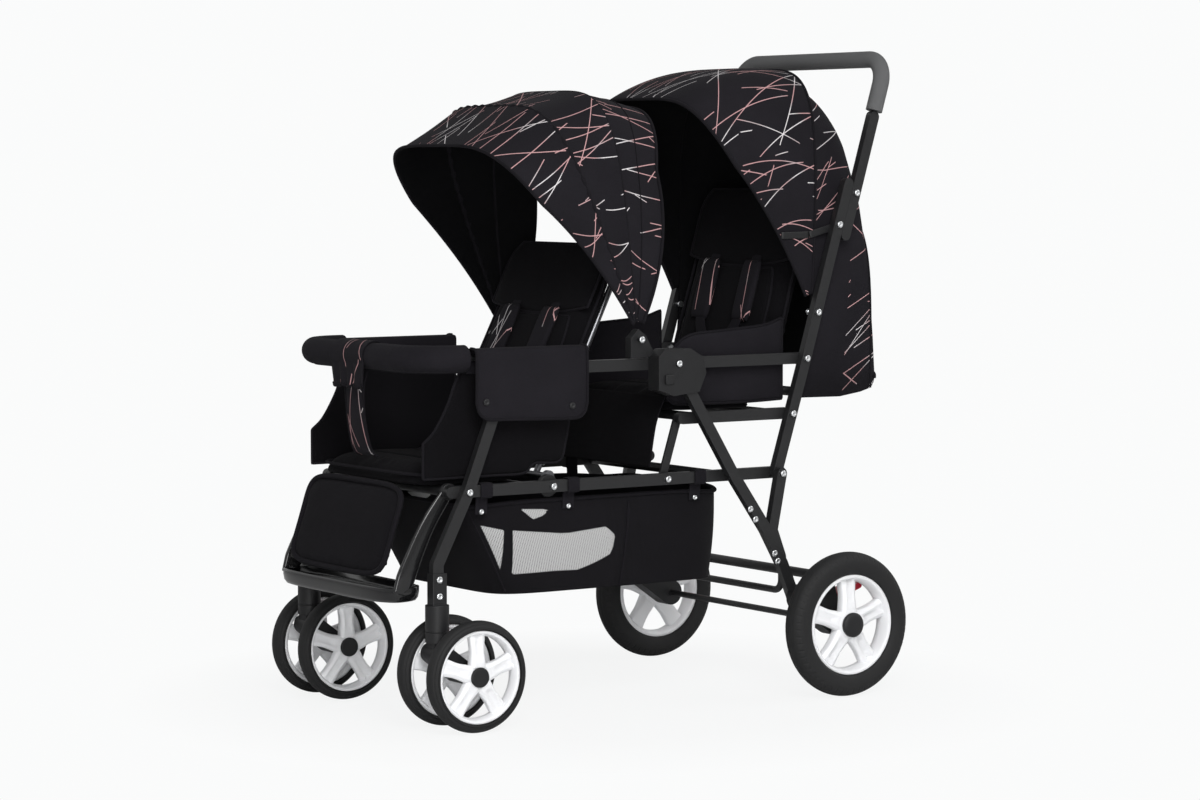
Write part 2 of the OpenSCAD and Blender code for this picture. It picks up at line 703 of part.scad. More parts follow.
housing_path = path([[91, 496], [91, 548], [103, 559], [150, 559], [176, 545], [181, 520], [168, 491], [120, 486]]);
cavity_path = path([[112, 440], [112, 549], [200, 549], [200, 440]]);
housing_wall = 4;
housing_out = leg_face + housing_wall;
clip_path = path([[56, 545.5], [56, 576], [70, 590], [84, 580], [100, 552], [100, 545.5]]);
clip_out = front_canopy_half - cloth - gap;
module lock_housings() color(plastic_colour) both() {
    x0 = rail_x + tube_width / 2 + gap;
    difference() {
        side((x0 + housing_out) / 2, housing_out - x0) polygon(housing_path);
        side(leg_x, tube_width + 2 * gap) polygon(cavity_path);
    }
    side((x0 - tube_width + clip_out) / 2, clip_out - x0 + tube_width) polygon(clip_path);
    rod(latch_point, inner_face, housing_out - overlap, pin_diameter);
    rod(latch_point, housing_out - overlap, housing_out + head_thick, head_diameter);
    rod(front_canopy_pivot, clip_out - overlap, front_canopy_half + 3 * nest, pin_diameter);
}

catch_point = at([110, 512]);
catch_size = 15;
module lock_catches() color(plastic_colour) both()
    translate([housing_out + gap, catch_point.x - catch_size / 2, catch_point.y - catch_size / 2])
        cube([head_thick + overlap, catch_size, catch_size]);

flap_path = path([[-214, 462], [-50, 456], [-36, 470], [-34, 560], [-230, 560], [-232, 478]]);
flap_top = socket_top + gap;
flap_inner = inner_face - 2 * gap - cloth;
flap_outer = upright_face + gap + head_thick + gap;
module arm_flaps() color(cloth_colour) both() {
    side(flap_outer + cloth / 2, cloth) polygon(concat(
        [for (i = [0 : 2]) flap_path[i]], [[flap_path[3].x, flap_top + cloth], [flap_path[4].x, flap_top + cloth]],
        [flap_path[5]]));
    translate([flap_inner, flap_path[4].x, flap_top])
        cube([flap_outer + cloth - flap_inner, flap_path[3].x - flap_path[4].x, cloth]);
    translate([flap_inner, flap_path[4].x, upper_rail_height])
        cube([cloth, flap_path[3].x - flap_path[4].x, flap_top + cloth - upper_rail_height]);
}

module in_bumper_plane() {
    translate([0, bumper_front, bumper_z]) rotate(180) children();
}
module bumper_bar() color(frame_colour) {
    leg = bumper_pad_end - bumper_front + 3 * overlap;
    in_bumper_plane() u_bar(bumper_bar_diameter, rail_x, leg, bumper_bend);
    both() translate([rail_x, bumper_front + leg - overlap, bumper_z]) rotate([-90, 0, 0])
        cylinder(d = spigot_diameter, h = socket_y[1] - bumper_front - leg);
}
module bumper_pad() color(foam_colour) in_bumper_plane() difference() {
    u_bar(bumper_diameter, rail_x, bumper_pad_end - bumper_front, bumper_bend);
    u_bar(bumper_bar_diameter + 2 * gap, rail_x, bumper_pad_end - bumper_front + overlap, bumper_bend);
}
loop_width = 96;
strap_panel_width = 58;
strap_foot = [at_y(-300), seat_pad_z + cushion + 2 * gap];
module bumper_strap() color(print_colour) {
    difference() {
        rod([bumper_front, bumper_z], -loop_width / 2, loop_width / 2, bumper_diameter + 2 * gap + 2 * cloth);
        rod([bumper_front, bumper_z], -loop_width, loop_width, bumper_diameter + 2 * gap);
    }
    side(0, strap_panel_width)
        run2([[bumper_front, bumper_z - bumper_diameter / 2 - gap - cloth / 2], strap_foot], cloth);
}

// Rear seat, which stays level while the frame folds
module seat_support() color(frame_colour) both() {
    difference() {
        side(support_x, link_thick) run2([support_foot, support_top], tube_depth - link_thick);
        hole(support_foot, support_x);
    }
    rod(support_top, support_x, rail_x + tube_width / 2, pin_diameter);
}
module rear_seat_base() color(frame_colour) {
    both() difference() {
        flat_tube([support_top, seat_rear_pin], rail_x);
        hole(support_top, rail_x);
        hole(seat_rear_pin, rail_x);
    }
    for (y = seat_tubes) rod([y, seat_z], -inner_face - overlap, inner_face + overlap, cross_tube_diameter);
}
rear_pad_y = [at_y(156), at_y(334)];
rear_pad_z = seat_z + cross_tube_diameter / 2 + gap;
module rear_seat_pad() color(cloth_colour)
    translate([0, rear_pad_y[0], rear_pad_z])
        pad(seat_pad_width, rear_pad_y[1] - rear_pad_y[0], cushion, seat_channels);

rear_side_path = path([[140, 468], [364, 468], [364, 606], [300, 580], [200, 566], [140, 566]]);
well_path = path([[112, 372], [122, 430], [141, 480]]);
module rear_seat_sides() color(cloth_colour) {
    both() side(soft_half, cloth) polygon(rear_side_path);
    side(0, 2 * soft_half) run2(well_path, cloth);
}

// Rear legs with the links that hang them on the handle pivot
notch_width = pin_diameter + 2 * gap;
module rear_legs() color(frame_colour) both() difference() {
    union() {
        flat_tube(rear_leg_path, leg_x);
        flat_tube(link_path, leg_x);
    }
    hole(handle_pivot, leg_x);
    side(leg_x, 2 * tube_width) run2([latch_point, latch_exit], notch_width);
}

hoop_diameter = 11;
hoop_bend = 18;
hoop_rise = 42;
module rear_crossbars() color(frame_colour) {
    rod(crossbar_point, -leg_face, leg_face, cross_tube_diameter);
    translate([0, hoop_point.x, hoop_point.y]) rotate([-90, 0, 0])
        u_bar(hoop_diameter, leg_x - tube_width / 2 - hoop_diameter / 2 - gap, hoop_rise, hoop_bend);
}

housing_rise = 6;
housing_root = rear_leg_path[4] + [0, housing_rise];
housing_depth = 42;
module axle_housings() color(plastic_colour) both() difference() {
    side(housing_x, housing_width) {
        run2([housing_root, rear_axle], housing_depth);
        run2([rear_axle, crossbar_point], housing_arm);
    }
    rod(rear_axle, 0, rear_track, axle_hole);
}

module rear_axle() color(steel_colour) {
    reach = rear_track + rear_hub_out + gap;
    rod(rear_axle, -reach, reach, axle_diameter);
    both() rod(rear_axle, reach, reach + cap_thick, rear_cap_diameter);
}

module brake_pedal(s) color(red_colour)
    side(s * housing_x, housing_width - 2 * overlap) run2([pedal_pivot, pedal_pivot + pedal_reach], pedal_depth);
module brake_pedal_left() brake_pedal(1);
module brake_pedal_right() brake_pedal(-1);

lower_rails();
chassis_pins();
basket();
front_seat_pad();
front_seat_sides();
footrest();
calf_rest();
recline_hubs();
front_back_rod();
front_back_pad();
front_harness();
front_legs();
caster_sockets();
caster_fork_left();
caster_fork_right();
caster_axle_left();
caster_axle_right();
caster_lock_left();
caster_lock_right();
front_rim_left_outer();
front_rim_left_inner();
front_rim_right_outer();
front_rim_right_inner();
front_tyre_left_outer();
front_tyre_left_inner();
front_tyre_right_outer();
front_tyre_right_inner();
handle_tubes();
handle_upper();
handle_grip();
handle_pins();
rear_cover();
rear_canopy_front();
rear_back_pad();
rear_harness();
upper_rails();
lock_housings();
lock_catches();
arm_flaps();
front_canopy_back();
front_canopy_mid();
front_canopy_visor();
bumper_bar();
bumper_pad();
bumper_strap();
seat_support();
rear_seat_base();
rear_seat_pad();
rear_seat_sides();
rear_legs();
rear_crossbars();
axle_housings();
rear_axle();
brake_pedal_left();
brake_pedal_right();
rear_rim_left();
rear_rim_right();
rear_tyre_left();
rear_tyre_right();
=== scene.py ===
"""Looks of a tandem pushchair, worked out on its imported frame.

Every place is in metres in the frame's own axes: +X to the child's left, +Y to the rear, +Z up.
Side-view sizes are written in millimetres along the drawing's own y axis and turned into metres by at().
"""

import json
import math

import bmesh
import bpy
import numpy as np
from mathutils import Matrix, Vector


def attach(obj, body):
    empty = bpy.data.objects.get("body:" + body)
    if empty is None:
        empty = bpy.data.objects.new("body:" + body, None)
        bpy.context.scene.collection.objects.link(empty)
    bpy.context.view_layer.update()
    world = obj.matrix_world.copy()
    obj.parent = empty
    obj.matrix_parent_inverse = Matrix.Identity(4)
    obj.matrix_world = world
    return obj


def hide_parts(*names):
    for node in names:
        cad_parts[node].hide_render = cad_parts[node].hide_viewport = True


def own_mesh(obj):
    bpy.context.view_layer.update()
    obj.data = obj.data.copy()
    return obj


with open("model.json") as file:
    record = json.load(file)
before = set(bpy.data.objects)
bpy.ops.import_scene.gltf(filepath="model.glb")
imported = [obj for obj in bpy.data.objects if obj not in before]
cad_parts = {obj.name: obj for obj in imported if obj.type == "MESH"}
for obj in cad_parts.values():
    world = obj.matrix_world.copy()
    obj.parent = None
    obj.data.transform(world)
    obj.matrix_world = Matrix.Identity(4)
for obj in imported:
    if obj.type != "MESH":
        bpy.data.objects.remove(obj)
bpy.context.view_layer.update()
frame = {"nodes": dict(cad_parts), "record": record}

bl_info = {
    "name": "Tandem pushchair looks",
    "version": (1, 0, 0),
    "blender": (4, 5, 0),
    "location": "View3D > Sidebar > Pushchair",
    "description": "Builds the cloth, pads, wheels and finishes of a tandem pushchair",
    "category": "Add Mesh",
}

MM = 0.001
LEFT_RIGHT = (("left", 1.0), ("right", -1.0))
MATERIALS = {}

# Drawing sizes in millimetres: the drawing's y at the frame's origin, and places across the width.
MIDDLE = 97.6
HALF = 193.5
RAIL_X = 181.0
SOFT_X = 167.6
BUMPER_FRONT = -316.0
BUMPER_HEIGHT = 554.0

# Sizes in metres that several pieces share.
WELD = 2e-5
FINE_WELD = 1e-5
WHEEL_WELD = 1e-6
PIPING_SMALL = 0.0022
PRINT_STEP = 0.0137
PAD_PRINT_SHIFT = 0.021


class PushchairCloth(bpy.types.PropertyGroup):
    """Sizes and colours of the soft goods."""

    cloth: bpy.props.FloatVectorProperty(
        name="Cloth", description="Plain cloth colour", subtype="COLOR", size=3, default=(0.0098, 0.009, 0.0112)
    )
    lining: bpy.props.FloatVectorProperty(
        name="Lining",
        description="Colour inside the canopies",
        subtype="COLOR",
        size=3,
        default=(0.0035, 0.0035, 0.004),
    )
    pink: bpy.props.FloatVectorProperty(
        name="Pink line", description="Warm line of the print", subtype="COLOR", size=3, default=(0.53, 0.31, 0.315)
    )
    white: bpy.props.FloatVectorProperty(
        name="White line", description="Pale line of the print", subtype="COLOR", size=3, default=(0.68, 0.65, 0.66)
    )
    mesh_grey: bpy.props.FloatVectorProperty(
        name="Mesh", description="Basket window mesh", subtype="COLOR", size=3, default=(0.5, 0.5, 0.5)
    )
    thickness: bpy.props.FloatProperty(
        name="Cloth thickness", description="Thickness of single cloth", unit="LENGTH", default=0.0018
    )
    piping: bpy.props.FloatProperty(
        name="Piping radius", description="Radius of the edge piping", unit="LENGTH", default=0.0026
    )
    swell: bpy.props.FloatProperty(
        name="Cushion swell", description="Most that a cushion may swell", unit="LENGTH", default=0.006
    )
    line_width: bpy.props.FloatProperty(
        name="Print line", description="Half width of a print line", unit="LENGTH", default=0.00085
    )


class PushchairFrame(bpy.types.PropertyGroup):
    """Colours and sizes of the hard parts."""

    tube: bpy.props.FloatVectorProperty(
        name="Tube", description="Powder coat", subtype="COLOR", size=3, default=(0.012, 0.012, 0.0128)
    )
    plastic: bpy.props.FloatVectorProperty(
        name="Plastic", description="Black plastic", subtype="COLOR", size=3, default=(0.008, 0.008, 0.0088)
    )
    rim: bpy.props.FloatVectorProperty(
        name="Rim", description="White wheel plastic", subtype="COLOR", size=3, default=(0.84, 0.845, 0.86)
    )
    tyre: bpy.props.FloatVectorProperty(
        name="Tyre", description="Tyre rubber", subtype="COLOR", size=3, default=(0.012, 0.012, 0.0125)
    )
    lever: bpy.props.FloatVectorProperty(
        name="Lever", description="Red levers", subtype="COLOR", size=3, default=(0.46, 0.012, 0.03)
    )
    foam: bpy.props.FloatVectorProperty(
        name="Foam", description="Grip foam", subtype="COLOR", size=3, default=(0.11, 0.111, 0.113)
    )
    edge: bpy.props.FloatProperty(
        name="Edge", description="Rounding of tube and plastic edges", unit="LENGTH", default=0.0012
    )


class PushchairStage(bpy.types.PropertyGroup):
    """Camera and light."""

    lens: bpy.props.FloatProperty(name="Lens", description="Focal length", unit="CAMERA", default=102.0)
    azimuth: bpy.props.FloatProperty(
        name="Azimuth", description="Camera direction from the front", subtype="ANGLE", default=math.radians(55.82)
    )
    elevation: bpy.props.FloatProperty(
        name="Elevation", description="Camera height above the horizon", subtype="ANGLE", default=math.radians(3.99)
    )
    distance: bpy.props.FloatProperty(
        name="Distance", description="From the camera to its target", unit="LENGTH", default=5.2015
    )
    target: bpy.props.FloatVectorProperty(
        name="Target",
        description="Point that the camera looks at",
        subtype="XYZ",
        size=3,
        default=(0.1884, -0.0976, 0.4832),
    )


def at(y, z):
    """A side-view point of the drawing, in metres."""
    return np.array([(y - MIDDLE) * MM, z * MM])


def through(points, count, closed=False):
    """Smooth curve through points, evenly spaced: a cubic through each point with half its neighbours' chord as
    slope.
    """
    p = np.asarray(points, float)
    before = np.vstack([p[-1:] if closed else 2 * p[:1] - p[1:2], p])
    after = np.vstack([p, p[:1] if closed else 2 * p[-1:] - p[-2:-1]])
    slope = (after[1:] - before[:-1]) / 2
    if closed:
        p = np.vstack([p, p[:1]])
        slope = np.vstack([slope, slope[:1]])
    s = np.linspace(0, len(p) - 1, 40 * len(p))
    i = np.minimum(s.astype(int), len(p) - 2)
    t = (s - i)[:, None]
    line = (
        (2 * t**3 - 3 * t**2 + 1) * p[i]
        + (t**3 - 2 * t**2 + t) * slope[i]
        + (3 * t**2 - 2 * t**3) * p[i + 1]
        + (t**3 - t**2) * slope[i + 1]
    )
    return evenly(line, count, closed)


def straight(points, count):
    """Straight runs between points, each run with the same number of steps."""
    p = np.asarray(points, float)
    share = np.linspace(0, 1, count)
    return np.stack([np.interp(share, np.linspace(0, 1, len(p)), p[:, k]) for k in (0, 1)], 1)


def evenly(line, count, closed=False):
    """The same line with its points at equal steps of its own length."""
    run = np.concatenate([[0], np.cumsum(np.linalg.norm(np.diff(line, axis=0), axis=1))])
    want = np.linspace(0, run[-1], count + 1)[:-1] if closed else np.linspace(0, run[-1], count)
    return np.stack([np.interp(want, run, line[:, k]) for k in range(line.shape[1])], 1)


def unit(v):
    """Vectors scaled to length one."""
    return v / np.maximum(np.linalg.norm(v, axis=-1, keepdims=True), 1e-12)


def quads_of(nu, nv, wrap_u=False, wrap_v=False):
    """Four-sided faces of a grid of points, wrapped round where asked."""
    a, b = np.meshgrid(np.arange(nu if wrap_u else nu - 1), np.arange(nv if wrap_v else nv - 1), indexing="ij")
    c, d = (a + 1) % nu, (b + 1) % nv
    return np.stack([a * nv + b, c * nv + b, c * nv + d, a * nv + d], -1).reshape(-1, 4)


def slopes(p, axis, wrap):
    """Change of a grid of points from neighbour to neighbour along one axis."""
    return np.roll(p, -1, axis) - np.roll(p, 1, axis) if wrap else np.gradient(p, axis=axis)


def normals(p, wrap_u=False, wrap_v=False):
    """Cross product of a grid's two slopes, scaled to one."""
    return unit(np.cross(slopes(p, 0, wrap_u), slopes(p, 1, wrap_v)))


def span(p, axis):
    """Length run along one axis of a grid, counted from its middle."""
    step = np.linalg.norm(np.diff(p, axis=axis), axis=-1)
    run = np.concatenate([np.zeros_like(step.take([0], axis)), np.cumsum(step, axis)], axis)
    return run - run.take([run.shape[axis] // 2], axis)


def build(name, points, faces, finishes, which=None, uv=None, merge=0.0):
    """A new mesh object from arrays of points and four-sided faces."""
    points = np.asarray(points, np.float32).reshape(-1, 3)
    mesh = bpy.data.meshes.new(name)
    mesh.vertices.add(len(points))
    mesh.vertices.foreach_set("co", points.ravel())
    mesh.loops.add(faces.size)
    mesh.loops.foreach_set("vertex_index", faces.ravel().astype(np.int32))
    mesh.polygons.add(len(faces))
    mesh.polygons.foreach_set("loop_start", np.arange(0, faces.size, 4, dtype=np.int32))
    if uv is not None:
        layer = mesh.uv_layers.new(name="cloth")
        layer.data.foreach_set("uv", np.asarray(uv, np.float32).reshape(-1, 2)[faces.ravel()].ravel())
    for finish in finishes:
        mesh.materials.append(MATERIALS[finish])
    if which is not None:
        mesh.polygons.foreach_set("material_index", np.asarray(which, np.int32))
    mesh.update(calc_edges=True)
    if merge:
        work = bmesh.new()
        work.from_mesh(mesh)
        bmesh.ops.remove_doubles(work, verts=work.verts, dist=merge)
        bmesh.ops.dissolve_degenerate(work, edges=work.edges, dist=merge / 4)
        bmesh.ops.recalc_face_normals(work, faces=work.faces)
        work.to_mesh(mesh)
        work.free()
    mesh.validate()
    mesh.polygons.foreach_set("use_smooth", np.ones(len(mesh.polygons), bool))
    piece = bpy.data.objects.new(name, mesh)
    bpy.context.scene.collection.objects.link(piece)
    return piece


def shell(p, thick, wrap_v=False):
    """Closed sheet: a grid, its twin set in along the normals, and walls round the free edges."""
    nu, nv = p.shape[:2]
    inner = p - normals(p, False, wrap_v) * thick
    top = quads_of(nu, nv, False, wrap_v)
    n = nu * nv
    j = np.arange(nv if wrap_v else nv - 1)
    k = (j + 1) % nv
    last = (nu - 1) * nv
    walls = [np.stack([j, k, k + n, j + n], 1), np.stack([last + k, last + j, last + j + n, last + k + n], 1)]
    if not wrap_v:
        i = np.arange(nu - 1) * nv
        walls += [np.stack([i + nv, i, i + n, i + nv + n], 1)]
        i = i + nv - 1
        walls += [np.stack([i, i + nv, i + nv + n, i + n], 1)]
    walls = np.vstack(walls)
    faces = np.vstack([top, top[:, ::-1] + n, walls])
    which = np.repeat([0, 1, 2], [len(top), len(top), len(walls)])
    return np.concatenate([p.reshape(-1, 3), inner.reshape(-1, 3)]), faces, which


def print_place(name, uv):
    """Cloth coordinates moved along by a step of the piece's own, so that no two pieces show the same lines."""
    return uv.reshape(-1, 2) + [0.0, PRINT_STEP * sum(map(ord, name))]


def sheet(name, p, body, finishes, node=None, plain=None, uv=None):
    """A sewn sheet from a grid: outer face, inner face and edge take their own finishes."""
    look = bpy.context.scene.pushchair_cloth
    points, faces, which = shell(p, look.thickness)
    if plain is not None:
        cell = plain[:-1, :-1]
        which[: cell.size] = np.where(cell.ravel(), 2, which[: cell.size])
    uv = print_place(name, np.stack([span(p, 1), span(p, 0)], -1) if uv is None else uv)
    piece = build(name, points, faces, finishes, which, np.concatenate([uv, uv]))
    return carry(piece, body, node)


def carry(piece, body, node=None):
    """Puts a piece on its body and hides the solid that it stands for."""
    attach(piece, body)
    if node:
        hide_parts(node)
    return piece


def sweep(path, across, profile, closed=False):
    """Profile carried along a path: across gives each station's first direction, the second is square to both."""
    tangent = unit(slopes(path, 0, closed))
    first = unit(across - (across * tangent).sum(-1, keepdims=True) * tangent)
    second = np.cross(tangent, first)
    profile = np.broadcast_to(profile, (len(path),) + profile.shape[-2:])
    return path[:, None] + profile[..., :1] * first[:, None] + profile[..., 1:] * second[:, None]


def ring(radius, sides=12, flat=1.0, power=2.0):
    """Round or squarish closed profile: both coordinates follow a cosine and a sine raised to two over power."""
    a = np.linspace(0, 2 * np.pi, sides, endpoint=False)
    c, s = np.cos(a), np.sin(a)
    e = 2.0 / power
    return np.stack([np.sign(c) * np.abs(c) ** e, np.sign(s) * np.abs(s) ** e * flat], -1) * radius


def rod(name, path, across, profile, finish, body, closed=False, node=None):
    """Solid bar: a closed profile carried along a path, its ends drawn to a point and merged."""
    p = sweep(path, across, profile, closed)
    if not closed:
        first, last = (end.mean(1, keepdims=True).repeat(p.shape[1], 1) for end in (p[:1], p[-1:]))
        p = np.concatenate([first, p, last])
    uv = np.stack([span(p, 1), span(p, 0)], -1)
    piece = build(name, p, quads_of(p.shape[0], p.shape[1], closed, True), [finish], uv=uv, merge=WELD)
    return carry(piece, body, node)


def pillow(name, p, half, finish, body, node=None):
    """Padded panel: a grid pushed out both ways along its normals by a height that is nothing at its edges."""
    n = normals(p)
    nu, nv = p.shape[:2]
    u = np.linspace(-1, 1, nu)[:, None]
    v = np.linspace(-1, 1, nv)[None]
    rise = half * ((1 - np.abs(u) ** 8) * (1 - np.abs(v) ** 8)) ** 0.5
    faces = quads_of(nu, nv)
    uv = print_place(name, np.stack([span(p, 1) + PAD_PRINT_SHIFT, span(p, 0)], -1))
    points = np.concatenate([(p + n * rise[..., None]).reshape(-1, 3), (p - n * rise[..., None]).reshape(-1, 3)])
    piece = build(
        name,
        points,
        np.vstack([faces, faces[:, ::-1] + nu * nv]),
        [finish],
        uv=np.concatenate([uv, uv]),
        merge=WELD,
    )
    return carry(piece, body, node)


def mirrored(p, sign):
    """A left-hand grid, or its mirror image on the right with its second axis turned round."""
    return p if sign > 0 else (p * np.array([-1, 1, 1]))[:, ::-1]


# Finishes


def new_group(name, inputs, outputs):
    """An empty shader node group with named inputs and outputs."""
    group = bpy.data.node_groups.new(name, "ShaderNodeTree")
    for label, kind, value in inputs:
        socket = group.interface.new_socket(name=label, in_out="INPUT", socket_type=kind)
        if value is not None:
            socket.default_value = value
    for label, kind in outputs:
        group.interface.new_socket(name=label, in_out="OUTPUT", socket_type=kind)
    return group, group.nodes.new("NodeGroupInput"), group.nodes.new("NodeGroupOutput")


def node(tree, kind, links=None, **settings):
    """A node with its settings, and its inputs linked or set by name or number."""
    made = tree.nodes.new(kind)
    for key, value in settings.items():
        setattr(made, key, value)
    for key, value in (links or {}).items():
        socket = made.inputs[key]
        if isinstance(value, bpy.types.NodeSocket):
            tree.links.new(value, socket)
        else:
            socket.default_value = value
    return made


def math_node(tree, operation, a, b=0.0, clamp=False):
    """Output of a maths node."""
    return node(tree, "ShaderNodeMath", {0: a, 1: b}, operation=operation, use_clamp=clamp).outputs[0]


def blend_colour(tree, factor, a, b):
    """Output of a colour mix."""
    made = node(tree, "ShaderNodeMix", {"Factor": factor, 6: a, 7: b}, data_type="RGBA")
    return made.outputs[2]


def weave_group():
    """Woven cloth: the product of two crossed sine waves, with slubs from fine noise and a broad change of tone."""
    group, gin, out = new_group(
        "Weave",
        [("Vector", "NodeSocketVector", None), ("Threads", "NodeSocketFloat", 700.0)],
        [("Height", "NodeSocketFloat"), ("Tone", "NodeSocketFloat")],
    )
    t = group
    scaled = node(
        t, "ShaderNodeVectorMath", {0: gin.outputs["Vector"], 3: gin.outputs["Threads"]}, operation="SCALE"
    ).outputs[0]
    parts = node(t, "ShaderNodeSeparateXYZ", {0: scaled}).outputs
    wave = [math_node(t, "SINE", math_node(t, "MULTIPLY", parts[k], 6.2832)) for k in (0, 1)]
    crossed = math_node(t, "MULTIPLY", wave[0], wave[1])
    slub = node(
        t, "ShaderNodeTexNoise", {"Vector": gin.outputs["Vector"], "Scale": 420.0, "Detail": 2.0}
    ).outputs[0]
    height = math_node(t, "ADD", math_node(t, "MULTIPLY", crossed, 0.5), slub)
    t.links.new(height, out.inputs["Height"])
    broad = node(t, "ShaderNodeTexNoise", {"Vector": gin.outputs["Vector"], "Scale": 9.0, "Detail": 3.0}).outputs[0]
    tone = math_node(t, "ADD", math_node(t, "MULTIPLY", slub, 0.5), math_node(t, "MULTIPLY", broad, 0.9))
    t.links.new(tone, out.inputs["Tone"])
    return group


def grain_group():
    """Moulded or sprayed grain: fine noise for height, broad noise for tone and stretched noise for scuffs."""
    group, gin, out = new_group(
        "Grain",
        [("Vector", "NodeSocketVector", None), ("Scale", "NodeSocketFloat", 900.0)],
        [("Height", "NodeSocketFloat"), ("Tone", "NodeSocketFloat"), ("Scuff", "NodeSocketFloat")],
    )
    t = group
    fine = node(
        t, "ShaderNodeTexNoise", {"Vector": gin.outputs["Vector"], "Scale": gin.outputs["Scale"], "Detail": 2.0}
    ).outputs[0]
    broad = node(
        t, "ShaderNodeTexNoise", {"Vector": gin.outputs["Vector"], "Scale": 14.0, "Detail": 4.0}
    ).outputs[0]
    t.links.new(fine, out.inputs["Height"])
    t.links.new(broad, out.inputs["Tone"])
    long = node(t, "ShaderNodeMapping", {"Vector": gin.outputs["Vector"], "Scale": (60.0, 9.0, 9.0)}).outputs[0]
    streak = node(t, "ShaderNodeTexNoise", {"Vector": long, "Scale": 5.0, "Detail": 5.0}).outputs[0]
    t.links.new(
        math_node(t, "MULTIPLY", math_node(t, "SUBTRACT", streak, 0.58, True), 3.0, True), out.inputs["Scuff"]
    )
    return group


PRINT_FAMILIES = ((5.0, 0.036), (-13.0, 0.052), (24.0, 0.074), (-31.0, 0.09), (52.0, 0.17))


def print_group():
    """Line print: families of long straight lines, each line set off its row at random and broken by noise.

    A family is an angle from the cloth's long way and a row height; a line's distance is measured square to it."""
    look = bpy.context.scene.pushchair_cloth
    group, gin, out = new_group(
        "Line print",
        [("Vector", "NodeSocketVector", None)],
        [("Pink", "NodeSocketFloat"), ("White", "NodeSocketFloat")],
    )
    t = group
    line = None
    for k, (degrees, rows) in enumerate(PRINT_FAMILIES):
        turn = math.radians(degrees)
        across = (math.cos(turn) / rows, -math.sin(turn) / rows, 0.0)
        place = node(
            t, "ShaderNodeVectorMath", {0: gin.outputs["Vector"], 1: across}, operation="DOT_PRODUCT"
        ).outputs["Value"]
        place = math_node(t, "ADD", place, 0.37 * k)
        row = math_node(t, "FLOOR", place)
        chance = node(
            t, "ShaderNodeTexWhiteNoise", {"W": math_node(t, "ADD", row, 17.3 * k)}, noise_dimensions="1D"
        ).outputs
        offset = math_node(t, "ADD", math_node(t, "MULTIPLY", chance["Value"], 0.7), 0.15)
        gap = math_node(t, "ABSOLUTE", math_node(t, "SUBTRACT", math_node(t, "FRACT", place), offset))
        width = look.line_width / rows
        mark = math_node(t, "MULTIPLY", math_node(t, "SUBTRACT", width, gap), 2.5 / width, True)
        seed = node(
            t, "ShaderNodeVectorMath", {0: gin.outputs["Vector"], 1: chance["Color"]}, operation="ADD"
        ).outputs[0]
        keep = node(t, "ShaderNodeTexNoise", {"Vector": seed, "Scale": 9.0, "Detail": 0.0}).outputs[0]
        mark = math_node(t, "MULTIPLY", mark, math_node(t, "GREATER_THAN", keep, 0.46))
        line = mark if line is None else math_node(t, "MAXIMUM", line, mark)
    hue = node(t, "ShaderNodeTexNoise", {"Vector": gin.outputs["Vector"], "Scale": 8.0, "Detail": 1.0}).outputs[0]
    warm = math_node(t, "MULTIPLY", math_node(t, "SUBTRACT", hue, 0.42), 14.0, True)
    t.links.new(math_node(t, "MULTIPLY", line, warm), out.inputs["Pink"])
    t.links.new(math_node(t, "MULTIPLY", line, math_node(t, "SUBTRACT", 1.0, warm)), out.inputs["White"])
    return group


def new_material(name, roughness, sheen=0.0, metallic=0.0, coat=0.0, specular=0.5):
    """An empty material with one principled shader."""
    made = bpy.data.materials.new(name)
    made.use_nodes = True
    t = made.node_tree
    t.nodes.clear()
    shader = node(
        t,
        "ShaderNodeBsdfPrincipled",
        {"Roughness": roughness, "Metallic": metallic, "Coat Weight": coat, "Specular IOR Level": specular},
    )
    if sheen:
        shader.inputs["Sheen Weight"].default_value = sheen
        shader.inputs["Sheen Roughness"].default_value = 0.5
    if coat:
        shader.inputs["Coat Roughness"].default_value = 0.08
    node(t, "ShaderNodeOutputMaterial", {"Surface": shader.outputs[0]})
    return made, t, shader


def shade(colour, factor):
    """A colour made darker or paler."""
    return tuple(min(1.0, c * factor) for c in colour) + (1.0,)


def bump(t, shader, height, strength, distance):
    """Links a height to the shader's normal."""
    made = node(t, "ShaderNodeBump", {"Strength": strength, "Distance": distance, "Height": height})
    t.links.new(made.outputs[0], shader.inputs["Normal"])


